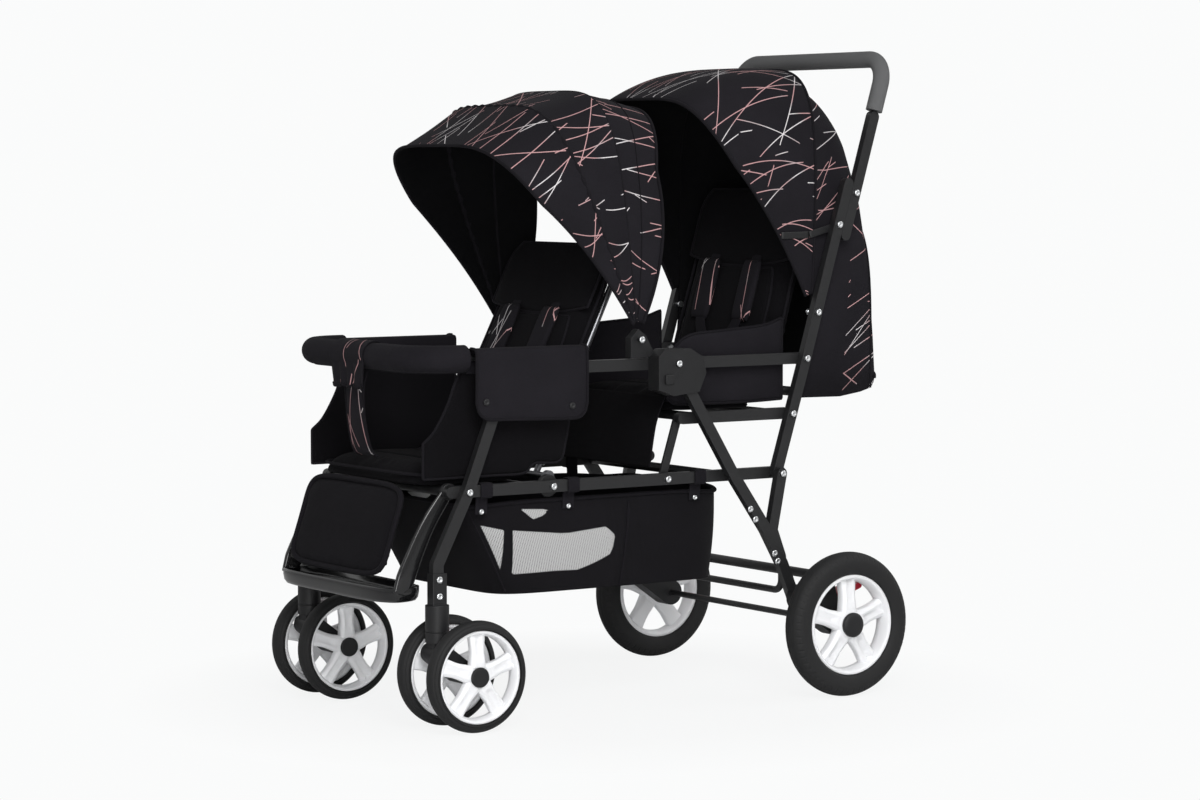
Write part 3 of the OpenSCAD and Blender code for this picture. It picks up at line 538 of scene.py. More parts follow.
def cloth_finish(name, colour, groups, threads=700.0, uv=True, printed=False, sheen=0.01, wrinkle=0.6):
    """Woven cloth, plain or with the line print, with soft creases."""
    look = bpy.context.scene.pushchair_cloth
    made, t, shader = new_material(name, 0.9, sheen=sheen, specular=0.08)
    if uv:
        vector = node(t, "ShaderNodeUVMap", uv_map="cloth").outputs[0]
    else:
        vector = node(t, "ShaderNodeTexCoord").outputs["Object"]
    weave = node(t, "ShaderNodeGroup", node_tree=groups["weave"])
    t.links.new(vector, weave.inputs["Vector"])
    weave.inputs["Threads"].default_value = threads
    tone = math_node(t, "MULTIPLY", weave.outputs["Tone"], 1.0, True)
    base = blend_colour(t, tone, shade(colour, 0.6), shade(colour, 1.45))
    if printed:
        lines = node(t, "ShaderNodeGroup", node_tree=groups["print"])
        t.links.new(vector, lines.inputs["Vector"])
        base = blend_colour(t, lines.outputs["Pink"], base, shade(look.pink, 1.0))
        base = blend_colour(t, lines.outputs["White"], base, shade(look.white, 1.0))
    t.links.new(base, shader.inputs["Base Color"])
    crease = node(
        t,
        "ShaderNodeTexNoise",
        {"Vector": node(t, "ShaderNodeTexCoord").outputs["Object"], "Scale": 16.0, "Detail": 3.0, "Distortion": 0.6},
    ).outputs[0]
    height = math_node(
        t,
        "ADD",
        math_node(t, "MULTIPLY", weave.outputs["Height"], 0.12),
        math_node(t, "MULTIPLY", crease, wrinkle * 3),
    )
    bump(t, shader, height, 0.55, 0.0016)
    MATERIALS[name] = made


def hard_finish(
    name,
    colour,
    groups,
    roughness,
    scale,
    spread=0.12,
    metallic=0.0,
    coat=0.0,
    depth=0.0002,
    scuff=0.0,
    specular=0.5,
):
    """Moulded, sprayed or drawn surface: grain in its height, tone and roughness, faint scuffs."""
    made, t, shader = new_material(name, roughness, metallic=metallic, coat=coat, specular=specular)
    vector = node(t, "ShaderNodeTexCoord").outputs["Object"]
    grain = node(t, "ShaderNodeGroup", node_tree=groups["grain"])
    t.links.new(vector, grain.inputs["Vector"])
    grain.inputs["Scale"].default_value = scale
    base = blend_colour(t, grain.outputs["Tone"], shade(colour, 1 - spread), shade(colour, 1 + spread))
    if scuff:
        base = blend_colour(t, math_node(t, "MULTIPLY", grain.outputs["Scuff"], scuff), base, shade(colour, 2.2))
    t.links.new(base, shader.inputs["Base Color"])
    rough = math_node(t, "ADD", math_node(t, "MULTIPLY", grain.outputs["Tone"], 0.16), roughness - 0.08)
    t.links.new(rough, shader.inputs["Roughness"])
    bump(t, shader, grain.outputs["Height"], 0.4, depth)
    MATERIALS[name] = made


def basket_finish(groups):
    """Basket cloth, painted darker than the plain cloth as painted shade, whose windows, marked by the mesh's own
    attribute, are an open knit with round holes.
    """
    look = bpy.context.scene.pushchair_cloth
    made, t, shader = new_material("basket", 0.9, sheen=0.02, specular=0.1)
    vector = node(t, "ShaderNodeUVMap", uv_map="cloth").outputs[0]
    weave = node(t, "ShaderNodeGroup", node_tree=groups["weave"])
    t.links.new(vector, weave.inputs["Vector"])
    # The basket's cloth is about half as bright as the plain cloth: painted shade low under the seats.
    base = blend_colour(
        t,
        math_node(t, "MULTIPLY", weave.outputs["Tone"], 1.0, True),
        shade(look.cloth, 0.3),
        shade(look.cloth, 0.75),
    )
    open_knit = math_node(
        t, "MULTIPLY", node(t, "ShaderNodeAttribute", attribute_name="window").outputs["Fac"], 900.0, True
    )
    grid = node(
        t, "ShaderNodeMapping", {"Vector": vector, "Rotation": (0, 0, 0.785), "Scale": (330.0, 330.0, 1.0)}
    ).outputs[0]
    dots = node(
        t, "ShaderNodeTexVoronoi", {"Vector": grid, "Scale": 1.0, "Randomness": 0.0}, voronoi_dimensions="2D"
    ).outputs[0]
    hole = math_node(t, "MULTIPLY", math_node(t, "SUBTRACT", 0.3, dots), 12.0, True)
    knit = blend_colour(t, hole, shade(look.mesh_grey, 1.0), shade(look.mesh_grey, 0.06))
    t.links.new(blend_colour(t, open_knit, base, knit), shader.inputs["Base Color"])
    gone = math_node(t, "MULTIPLY", math_node(t, "MULTIPLY", hole, open_knit), 0.75)
    t.links.new(math_node(t, "SUBTRACT", 1.0, gone), shader.inputs["Alpha"])
    bump(t, shader, weave.outputs["Height"], 0.3, 0.0004)
    MATERIALS["basket"] = made


def make_finishes():
    """All finishes, from the sizes and colours in the panel."""
    look = bpy.context.scene.pushchair_cloth
    hard = bpy.context.scene.pushchair_frame
    groups = {"weave": weave_group(), "grain": grain_group(), "print": print_group()}
    cloth_finish("cloth", look.cloth, groups)
    # Darker copies of the plain cloth stand for shade: deep painted shade on the cushions, backs, head panels,
    # inserts, front side panels and footwell, and a lighter painted shade on the calf panel.
    cloth_finish("pad cloth", shade(look.cloth, 0.34)[:3], groups, uv=False)
    cloth_finish("light painted shade cloth", shade(look.cloth, 0.6)[:3], groups, uv=False)
    cloth_finish("lining", look.lining, groups, sheen=0.0)
    cloth_finish("printed", look.cloth, groups, printed=True, wrinkle=0.35)
    cloth_finish("binding", shade(look.cloth, 0.75)[:3], groups, threads=400.0, uv=False, wrinkle=0.1)
    cloth_finish("webbing", shade(look.cloth, 0.9)[:3], groups, threads=320.0, wrinkle=0.1)
    basket_finish(groups)
    hard_finish("tube", hard.tube, groups, 0.42, 1400.0, scuff=0.25, depth=0.00012, specular=0.38)
    hard_finish("plastic", hard.plastic, groups, 0.5, 900.0, depth=0.0002, specular=0.35)
    hard_finish(
        "gloss plastic", shade(hard.plastic, 0.8)[:3], groups, 0.2, 60.0, coat=0.35, depth=0.0003, specular=0.3
    )
    hard_finish("steel", (0.62, 0.63, 0.64), groups, 0.3, 500.0, metallic=1.0)
    hard_finish("dark rod", (0.16, 0.16, 0.17), groups, 0.32, 500.0, metallic=1.0)
    hard_finish("rim", hard.rim, groups, 0.38, 300.0, spread=0.03, depth=0.0002)
    hard_finish("tyre", hard.tyre, groups, 0.72, 700.0, depth=0.0005, scuff=0.15, specular=0.3)
    hard_finish("lever", hard.lever, groups, 0.35, 400.0, spread=0.06)
    hard_finish("foam", hard.foam, groups, 0.85, 1500.0, depth=0.0009, specular=0.3)


# Canopies


def arch_line(radius, half, count, power=4.5, hub=0.02):
    """Half of a rounded box: distance from the pivot and place across, at equal steps of length."""
    a = np.linspace(-np.pi / 2, np.pi / 2, 1200)
    line = np.stack(
        [radius * np.abs(np.cos(a)) ** (2 / power), half * np.sign(a) * np.abs(np.sin(a)) ** (2 / power)], 1
    )
    return evenly(line[line[:, 0] > hub], count)


def canopy_grid(
    pivot, radius, half, angles, dip=0.012, steps=25, count=141, swing=(0.0, 0.0), ends=(0.0, 0.0), flare=(1.0, 1.0)
):
    """Panel turned about a pivot line: the arch swings from one angle to the next and dips between its hoops.

    swing turns the two edges near the pivot, ends raises them at their tops as shares of the radius, and flare
    gives their widths as shares of half."""
    line = arch_line(radius, half, count)
    u = np.linspace(0, 1, steps)[:, None]
    r = line[None, :, 0]
    top = (r / radius) ** 2
    low = 1 - np.clip(r / (0.7 * radius), 0, 1)
    angle = np.radians(angles[0] + (angles[1] - angles[0]) * u + low * (swing[0] * (1 - u) ** 2 + swing[1] * u**2))
    pull = 1 - dip * np.sin(np.pi * u) * top + (ends[0] * (1 - u) ** 2 + ends[1] * u**2) * top
    tuck = 0.0012 * np.sin(np.pi * u) * np.sin(40 * np.pi * np.linspace(0, 1, count))[None] * (1 - top)
    y = pivot[0] - (r * pull + tuck) * np.sin(angle)
    z = pivot[1] + (r * pull + tuck) * np.cos(angle)
    x = np.broadcast_to(line[None, :, 1], y.shape) * (1 - 0.35 * dip * np.sin(np.pi * u))
    x = x * (flare[0] + (flare[1] - flare[0]) * u)
    return np.stack([x, y, z], -1)


def edge_rod(name, line, body, radius=None, finish="binding", rope=0.0):
    """Piping along a line, with an even gather where it is drawn in."""
    look = bpy.context.scene.pushchair_cloth
    path = evenly(line, 240)
    size = (radius or look.piping) * (1 + rope * np.sin(np.linspace(0, 90 * np.pi, len(path))))
    profile = ring(1.0, 8)[None] * size[:, None, None]
    return rod(name, path, np.broadcast_to([0.03, 1.0, 0.2], path.shape), profile, finish, body)


def fold_flat(piece):
    """Gives a soft piece on the folding frame a mesh of its own."""
    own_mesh(piece)


FRONT_PIVOT = at(70, 574)
REAR_PIVOT = at(412, 608)

# Hoops, half widths and the step between nested panels, in metres.
HOOP_RADIUS = 0.388
FRONT_HOOP_HALF = 0.193
REAR_HOOP_HALF = 0.1825
COVER_HALF = 0.1799
NEST = 0.0026


def off_pivot(line, step):
    """A line on the front canopy moved out from the canopy's pivot by one step."""
    return line + unit(line - np.array([0, FRONT_PIVOT[0], FRONT_PIVOT[1]])) * step


def make_front_canopy():
    """Back panel, middle panel and visor of the front canopy, each with its piping."""
    still = (0.0, 0.0)
    plans = (
        ("canopy_back", "upper_rails", "front_canopy_back", (-10, 6), 0, (-22.0, 0.0), (-0.05, 0.0), (0.94, 0.97)),
        ("canopy_middle", "front_canopy_mid", "front_canopy_mid", (6, 22), 1, still, still, (0.97, 0.985)),
        ("canopy_visor", "front_canopy_visor", "front_canopy_visor", (22, 40), 2, (0.0, -9.0), still, (0.985, 1.0)),
    )
    for name, body, solid, angles, i, swing, ends, flare in plans:
        radius, half = HOOP_RADIUS - NEST * (2 - i), FRONT_HOOP_HALF + NEST * i
        grid = canopy_grid(FRONT_PIVOT, radius, half, angles, dip=0.016, swing=swing, ends=ends, flare=flare)
        piece = sheet(
            name, grid, body, ["printed", "lining", "binding"], node=solid
        )
        fold_flat(piece)
        edges = [("front", grid[-1])] if i else [("rear", grid[0]), ("front", grid[-1])]
        for label, line in edges:
            rope = 0.3 if (i == 1 and label == "front") else 0.0
            size = 0.0034 if rope else None
            piping = edge_rod(f"{name}_{label}_piping", off_pivot(line, 0.0008), body, radius=size, rope=rope)
            fold_flat(piping)
        if not i:
            seam = off_pivot(grid[len(grid) // 2], 0.0006)
            fold_flat(edge_rod("canopy_back_seam", seam, body, radius=0.0009))


def lean_flat(piece):
    """Gives a soft piece on the handle a mesh of its own."""
    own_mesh(piece)


COVER_LOW = [(415.2, 612), (396, 471), (472, 470), (514, 476), (536, 482), (541, 489), (543.5, 497)]
COVER_TOP = [(407, 978), (448, 972), (490, 950), (520, 908), (531, 850), (539, 690), (545, 512)]


def cover_grid(steps=61, count=121, power=4.5):
    """Rear cover: a rounded arch between a low line and a top line, carried from the middle hoop to the hem."""
    low = straight([at(*p) for p in COVER_LOW], steps)
    top = [at(*p) for p in COVER_TOP]
    top = 0.5 * through(top, steps) + 0.5 * straight(top, steps)
    a = np.linspace(-np.pi / 2, np.pi / 2, count)
    h = np.abs(np.cos(a)) ** (2 / power)
    u = np.sign(a) * np.abs(np.sin(a)) ** (2 / power)
    yz = low[:, None] + (top - low)[:, None] * h[None, :, None]
    x = np.broadcast_to(u * COVER_HALF, yz.shape[:2])
    return np.concatenate([x[..., None], yz], -1)


def make_rear_canopy():
    """Front panel of the rear canopy, the cover behind it and the folding stays at its sides."""
    swing, ends = (0.0, -8.0), (0.0, 0.03)
    grid = canopy_grid(REAR_PIVOT, HOOP_RADIUS, REAR_HOOP_HALF, (-2.5, 32), dip=-0.012, swing=swing, ends=ends)
    finishes = ["printed", "lining", "binding"]
    piece = sheet(
        "rear_canopy_panel", grid, "rear_canopy", finishes, node="rear_canopy_front"
    )
    lean_flat(piece)
    for label, line in (("rear", grid[0]), ("front", grid[-1])):
        lean_flat(edge_rod(f"rear_canopy_{label}_piping", line, "rear_canopy"))
    grid = cover_grid()[::-1]
    i = np.linspace(1, 0, grid.shape[0])[:, None]
    j = np.abs(np.linspace(-1, 1, grid.shape[1]))[None]
    x, y, z = np.moveaxis(grid, -1, 0)
    seam_share = 0.36
    side_panel = (i < seam_share) & (j > 0.62) & (z < 0.74)
    hem_band = (z < 0.516) & (y > 0.4)
    uv = np.stack([z - 0.6 * y, x + np.sign(x) * np.abs(x / 0.18) ** 4 * (0.45 - y)], -1)
    finishes = ["printed", "lining", "cloth"]
    plain = side_panel | hem_band
    piece = sheet(
        "rear_cover_cloth",
        grid,
        "handle",
        finishes,
        node="rear_cover",
        plain=plain,
        uv=uv,
    )
    lean_flat(piece)
    lean_flat(edge_rod("rear_cover_hem", grid[0], "handle"))
    seam = grid[int(grid.shape[0] * seam_share)] + [0, 0.0012, 0.0006]
    lean_flat(edge_rod("rear_cover_seam", seam, "handle", radius=0.0018))
    stays = (
        ("rear", "handle", at(456, 744), at(405, 731), 0.1862),
        ("front", "rear_canopy", at(405, 731), at(350, 730), 0.1846),
    )
    for side, s in LEFT_RIGHT:
        for name, body, a, b, x in stays:
            path = np.stack([np.full(12, s * x), np.linspace(a[0], b[0], 12), np.linspace(a[1], b[1], 12)], 1)
            rod(
                f"stay_{name}_{side}",
                path,
                np.broadcast_to([0.0, 0.1, 1.0], path.shape),
                ring(0.0055, 16, 0.2, 5.0),
                "plastic",
                body,
            )


# Pads

SWELL_FRAMES = 20


def cushion_mesh(width, length, thick, square=0.36, flat_back=0.12, crown=0.18, taper=0.0):
    """Closed crowned form: a rounded box whose sides draw in between its corners and whose back is nearly flat."""
    v = np.linspace(-np.pi / 2, np.pi / 2, 49)[:, None]
    u = np.linspace(0, 2 * np.pi, 120, endpoint=False)[None]
    c, s = np.cos(u), np.sin(u)
    reach = np.abs(np.cos(v)) ** 0.42
    e = square
    x = np.sign(c) * np.abs(c) ** e * reach
    y = np.sign(s) * np.abs(s) ** e * reach
    waist = 1 - 0.03 * (1 - y**2) * np.abs(x) ** 3
    narrow = 1 - taper * np.clip(y, -1, 1) - 5 * taper * np.clip((y - 0.45) / 0.55, 0, 1) ** 2.5
    z = np.sign(np.sin(v)) * np.abs(np.sin(v)) ** 0.75 * np.ones_like(u)
    z = np.where(z < 0, z * flat_back, z * (1 - crown) + crown * (1 - (x**2 + y**2) / 2) * np.clip(z * 4, 0, 1))
    lift = z.min()
    x = x * waist * narrow
    rise = (z - lift) / (z.max() - lift)
    return np.stack([x * width / 2, (y * (1 - 0.02 * (1 - x**2)) + 1) * length / 2, rise * thick], -1)


def plump(pieces, swell):
    """Swells pads with Blender's cloth: remeshed evenly, blown up a little, capped and kept flat on their backs."""
    scene = bpy.context.scene
    rests = []
    for piece, voxel, _ in pieces:
        remesh = piece.modifiers.new("even", "REMESH")
        remesh.mode = "VOXEL"
        remesh.voxel_size = voxel
        fresh = bpy.data.meshes.new_from_object(piece.evaluated_get(bpy.context.evaluated_depsgraph_get()))
        piece.modifiers.clear()
        for finish in piece.data.materials:
            if finish.name not in fresh.materials:
                fresh.materials.append(finish)
        piece.data = fresh
        rest = np.empty(len(fresh.vertices) * 3, np.float32)
        fresh.vertices.foreach_get("co", rest)
        rests.append(rest.reshape(-1, 3))
        cloth = piece.modifiers.new("swell", "CLOTH")
        cloth.settings.quality = 4
        cloth.settings.use_pressure = True
        cloth.settings.uniform_pressure_force = 4.0
        cloth.settings.tension_stiffness = 18
        cloth.settings.compression_stiffness = 18
        cloth.settings.bending_stiffness = 0.6
        cloth.settings.effector_weights.gravity = 0.0
        cloth.point_cache.frame_start = 1
        cloth.point_cache.frame_end = SWELL_FRAMES
    for number in range(1, SWELL_FRAMES + 1):
        scene.frame_set(number)
    graph = bpy.context.evaluated_depsgraph_get()
    results = []
    for (piece, _, floor_of), rest in zip(pieces, rests):
        seen = piece.evaluated_get(graph)
        moved = np.empty(rest.size, np.float32)
        seen.data.vertices.foreach_get("co", moved)
        move = moved.reshape(-1, 3) - rest
        size = np.linalg.norm(move, axis=1, keepdims=True)
        move *= np.minimum(1.0, swell / np.maximum(size, 1e-9))
        keep = np.clip((floor_of(rest) - 0.002) / 0.01, 0, 1)[:, None]
        results.append(rest + move * keep)
    for (piece, _, _), result in zip(pieces, results):
        piece.modifiers.clear()
        piece.data.vertices.foreach_set("co", result.astype(np.float32).ravel())
        piece.data.update()
    scene.frame_set(1)


def refine(piece, levels=1):
    """Applies smooth subdivision to a pad, so that seams can be pressed into it."""
    made = piece.modifiers.new("smooth", "SUBSURF")
    made.levels = made.render_levels = levels
    fresh = bpy.data.meshes.new_from_object(piece.evaluated_get(bpy.context.evaluated_depsgraph_get()))
    piece.modifiers.clear()
    piece.data = fresh
    fresh.polygons.foreach_set("use_smooth", np.ones(len(fresh.polygons), bool))


class Plane:
    """Pad's own axes: across, along and out of the surface that it lies on."""

    def __init__(self, start, end):
        self.start = np.array([0, *start])
        along = unit(np.array([0, *(np.asarray(end) - start)]))
        self.axes = np.stack([[1.0, 0, 0], along, np.cross([1.0, 0, 0], along)])
        self.length = float(np.linalg.norm(np.asarray(end) - start))

    def out(self, local):
        """Frame points from local ones."""
        return self.start + np.asarray(local) @ self.axes

    def into(self, points):
        """Local points from frame ones."""
        return (np.asarray(points) - self.start) @ self.axes.T


def press_seams(piece, plane, thick, across, depth, width=0.0045):
    """Presses sewn channels into a pad: gaussian grooves across it, on its face only."""
    co = np.empty(len(piece.data.vertices) * 3, np.float32)
    piece.data.vertices.foreach_get("co", co)
    local = plane.into(co.reshape(-1, 3))
    face = np.clip((local[:, 2] / thick - 0.25) / 0.35, 0, 1)
    push = np.zeros(len(local))
    for share in across:
        push = np.maximum(push, np.exp(-(((local[:, 1] - share * plane.length) / width) ** 2)))
    local[:, 2] -= push * face * depth
    piece.data.vertices.foreach_set("co", plane.out(local).astype(np.float32).ravel())
    piece.data.update()


def outline_rod(name, plane, width, length, height, body, taper, square=0.36, inset=0.004, radius=0.0024):
    """Piping round a pad at one height: the pad's own squared outline."""
    u = np.linspace(0, 2 * np.pi, 240, endpoint=False)
    c, s = np.cos(u), np.sin(u)
    y = np.sign(s) * np.abs(s) ** square
    narrow = 1 - taper * y - 5 * taper * np.clip((y - 0.45) / 0.55, 0, 1) ** 2.5
    x = np.sign(c) * np.abs(c) ** square * (width / 2 - inset) * (1 - 0.03 * (1 - y**2)) * narrow
    y = (y * (1 - 2 * inset / length) + 1) * length / 2
    line = plane.out(np.stack([x, y, np.full_like(x, height)], 1))
    path = evenly(np.vstack([line, line[:1]]), 260, True)
    return rod(
        name,
        path,
        np.broadcast_to(plane.axes[2], path.shape),
        ring(radius, 8),
        "binding",
        body,
        closed=True,
    )


BACK_THICK = 0.024
THIN_PAD = 0.02


def back_line(pivot, lean, start, stand, length):
    """Start and end of a backrest's rear surface: along its lean and out from its rod."""
    way = np.array(lean) / math.hypot(*lean)
    normal = np.array([-way[1], way[0]])
    a = at(*pivot) + (way * start + normal * stand) * MM
    return a, a + way * length * MM


FRONT_BACK = back_line((-85, 355), (169.0, 345.0), 52, 5.3, 346.2)
REAR_BACK = back_line((376, 482), (94.0, 318.0), 0, 7.8, 331.6)


def make_pads():
    """Both seat cushions, both backs and the calf panel, swelled by cloth simulation and then sewn."""
    swell = bpy.context.scene.pushchair_cloth.swell
    seat = (0.3235, 0.034, 0.0, (0.33, 0.67))
    plans = (
        ("front_cushion", "chassis", "front_seat_pad", (at(-309, 362.8), at(-115, 362.8)), *seat),
        ("rear_cushion", "rear_seat", "rear_seat_pad", (at(156, 455.9), at(333, 455.9)), *seat),
        ("front_back", "front_backrest", "front_back_pad", FRONT_BACK, 0.29, BACK_THICK, 0.04, ()),
        ("rear_back", "rear_backrest", "rear_back_pad", REAR_BACK, 0.29, BACK_THICK, 0.03, ()),
        ("calf_panel", "calf", "calf_rest", (at(-357.5, 223), at(-310.2, 367)), 0.298, 0.012, 0.0, (0.93,)),
    )
    work, made = [], []
    shrink = 0.003
    for name, body, solid, (a, b), width, thick, taper, across in plans:
        plane = Plane(a, b)
        grid = cushion_mesh(width - 2 * shrink, plane.length - 2 * shrink, thick - shrink, taper=taper)
        grid[..., 1] += shrink
        points = plane.out(grid.reshape(-1, 3))
        # Pads take cloth darkened as painted shade: the thin calf panel a little, the cushions and backs much more.
        finish, voxel = ("light painted shade cloth", 0.004) if thick < THIN_PAD else ("pad cloth", 0.005)
        piece = build(name, points, quads_of(*grid.shape[:2], False, True), [finish], merge=1e-4)
        work.append((piece, voxel, lambda p, q=plane: q.into(p)[:, 2]))
        made.append((piece, plane, body, solid, width, thick, taper, across))
    plump(work, swell)
    for piece, plane, body, solid, width, thick, taper, across in made:
        refine(piece)
        press_seams(piece, plane, thick, across, min(0.006, thick * 0.2))
        carry(piece, body, solid)
        inset, radius = (0.006, 0.0042) if thick < THIN_PAD else (0.004, 0.0024)
        trim = outline_rod(
            f"{piece.name}_piping", plane, width, plane.length, thick * 0.5, body, taper, inset=inset, radius=radius
        )
        if body in ("chassis", "rear_seat"):
            for soft in (piece, trim):
                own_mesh(soft)


def panel_on(plane, low, top, half, height, rows=41, columns=31, sag=0.0, rounded=0.2):
    """Grid on a backrest from one share of its length to another; its low edge sags and its top corners draw in."""
    v = np.linspace(-1, 1, columns)[None]
    u = np.linspace(0, 1, rows)[:, None]
    low = (low * plane.length - sag * (1 - v**2)) * np.ones_like(u)
    y = low + (top * plane.length - low) * u
    x = half * v * (1 - rounded * np.clip((u - 0.6) / 0.4, 0, 1) ** 2.5)
    return plane.out(np.stack([x, y, height + 0 * y], -1))[:, ::-1]


def border(p):
    """Closed line round a grid."""
    return np.vstack([p[:, 0], p[-1], p[::-1, -1], p[0, ::-1]])


def make_harnesses():
    """Head panel, piped insert, printed shoulder pads, webbing and buckle on each backrest."""
    plans = (
        ("front", "front_backrest", "front_harness", FRONT_BACK, 0.62),
        ("rear", "rear_backrest", "rear_harness", REAR_BACK, 0.58),
    )
    shoulder = 0.056
    for name, body, solid, (a, b), seam in plans:
        plane = Plane(a, b)
        top = BACK_THICK + 0.001
        head = panel_on(plane, seam + 0.05, 0.975, 0.136, top, sag=0.014, rounded=0.16)
        # Head panel and insert take the cloth darkened as painted shade.
        pillow(f"{name}_head_panel", head, 0.006, "pad cloth", body)
        insert = panel_on(plane, 0.03, seam, 0.108, top, rounded=0.1)
        pillow(f"{name}_insert", insert, 0.0075, "pad cloth", body)
        for label, grid in (("head", head), ("insert", insert)):
            line = evenly(border(grid), 260, True)
            rod(
                f"{name}_{label}_piping",
                line,
                np.broadcast_to(plane.axes[2], line.shape),
                ring(PIPING_SMALL, 8),
                "binding",
                body,
                closed=True,
            )
        top += 0.008
        for side, s in LEFT_RIGHT:
            u = np.linspace(0.3, seam + 0.03, 31) * plane.length
            v = np.linspace(-0.023, 0.023, 13)
            x = s * shoulder + v[None] * (1 - 0.1 * np.linspace(-1, 1, 31)[:, None] ** 4)
            local = np.stack([x, np.broadcast_to(u[:, None], (31, 13)), np.full((31, 13), top + 0.003)], -1)
            pillow(
                f"{name}_shoulder_pad_{side}",
                plane.out(local)[:, ::-1],
                0.0055,
                "printed",
                body,
                node=solid,
            )
            stations = (
                (shoulder, seam + 0.08, -0.006),
                (shoulder, seam - 0.02, 0.003),
                (shoulder, 0.5, 0.003),
                (0.05, 0.3, 0.004),
                (0.022, 0.16, 0.004),
                (0.012, 0.1, 0.005),
            )
            line = through([(s * x, plane.length * share, top + rise) for x, share, rise in stations], 60)
            rod(
                f"{name}_shoulder_web_{side}",
                plane.out(line),
                np.broadcast_to([1.0, 0, 0], (60, 3)),
                ring(0.0115, 16, 0.12, 5.0),
                "webbing",
                body,
            )
        u = np.linspace(0, 2 * np.pi, 48, endpoint=False)
        v = np.linspace(-np.pi / 2, np.pi / 2, 17)
        shape = np.abs(np.cos(v))[:, None] ** 0.5
        x = np.sign(np.cos(u)) * np.abs(np.cos(u)) ** 0.5 * 0.021 * shape
        y = np.sign(np.sin(u)) * np.abs(np.sin(u)) ** 0.7 * 0.026 * shape + plane.length * 0.085
        z = (np.sin(v) * 0.007 + top + 0.006)[:, None] * np.ones_like(u)
        buckle = build(
            f"{name}_buckle",
            plane.out(np.stack([x, y, z], -1).reshape(-1, 3)),
            quads_of(17, 48, False, True),
            ["plastic"],
            merge=FINE_WELD,
        )
        carry(buckle, body)


def between(low, top, nv):
    """Grid of a side panel: straight lines from a low curve to a top curve."""
    v = np.linspace(0, 1, nv)[None, :, None]
    return low[:, None] * (1 - v) + top[:, None] * v


# Side panels seen from the side and the arm flap seen from the front, in the drawing's millimetres.
FRONT_SIDE_LOW = (
    (-304, 375), (-250, 375), (-180, 375), (-126, 376), (-106, 390), (-62, 391), (-50, 420), (-40, 474)
)
FRONT_SIDE_TOP = (
    (-304, 428), (-284, 446), (-262, 482), (-246, 520), (-228, 545), (-170, 551), (-100, 551), (-40, 548)
)
REAR_SIDE_LOW = ((141, 478), (160, 469), (220, 468), (300, 468), (364, 470))
REAR_SIDE_TOP = ((145, 540), (158, 562), (187, 577), (245, 582), (323, 588), (364, 599))
FLAP_SECTION = (
    (172.9, 530), (172.9, 552), (173.6, 565), (179, 568.6), (188, 568.8), (197, 568.4), (202.6, 565), (204.0, 552),
    (204.4, 520), (204.2, 490), (204, 458),
)
FLAP_FRONT, FLAP_REAR, FLAP_CORNER = -232, -34, 24.0


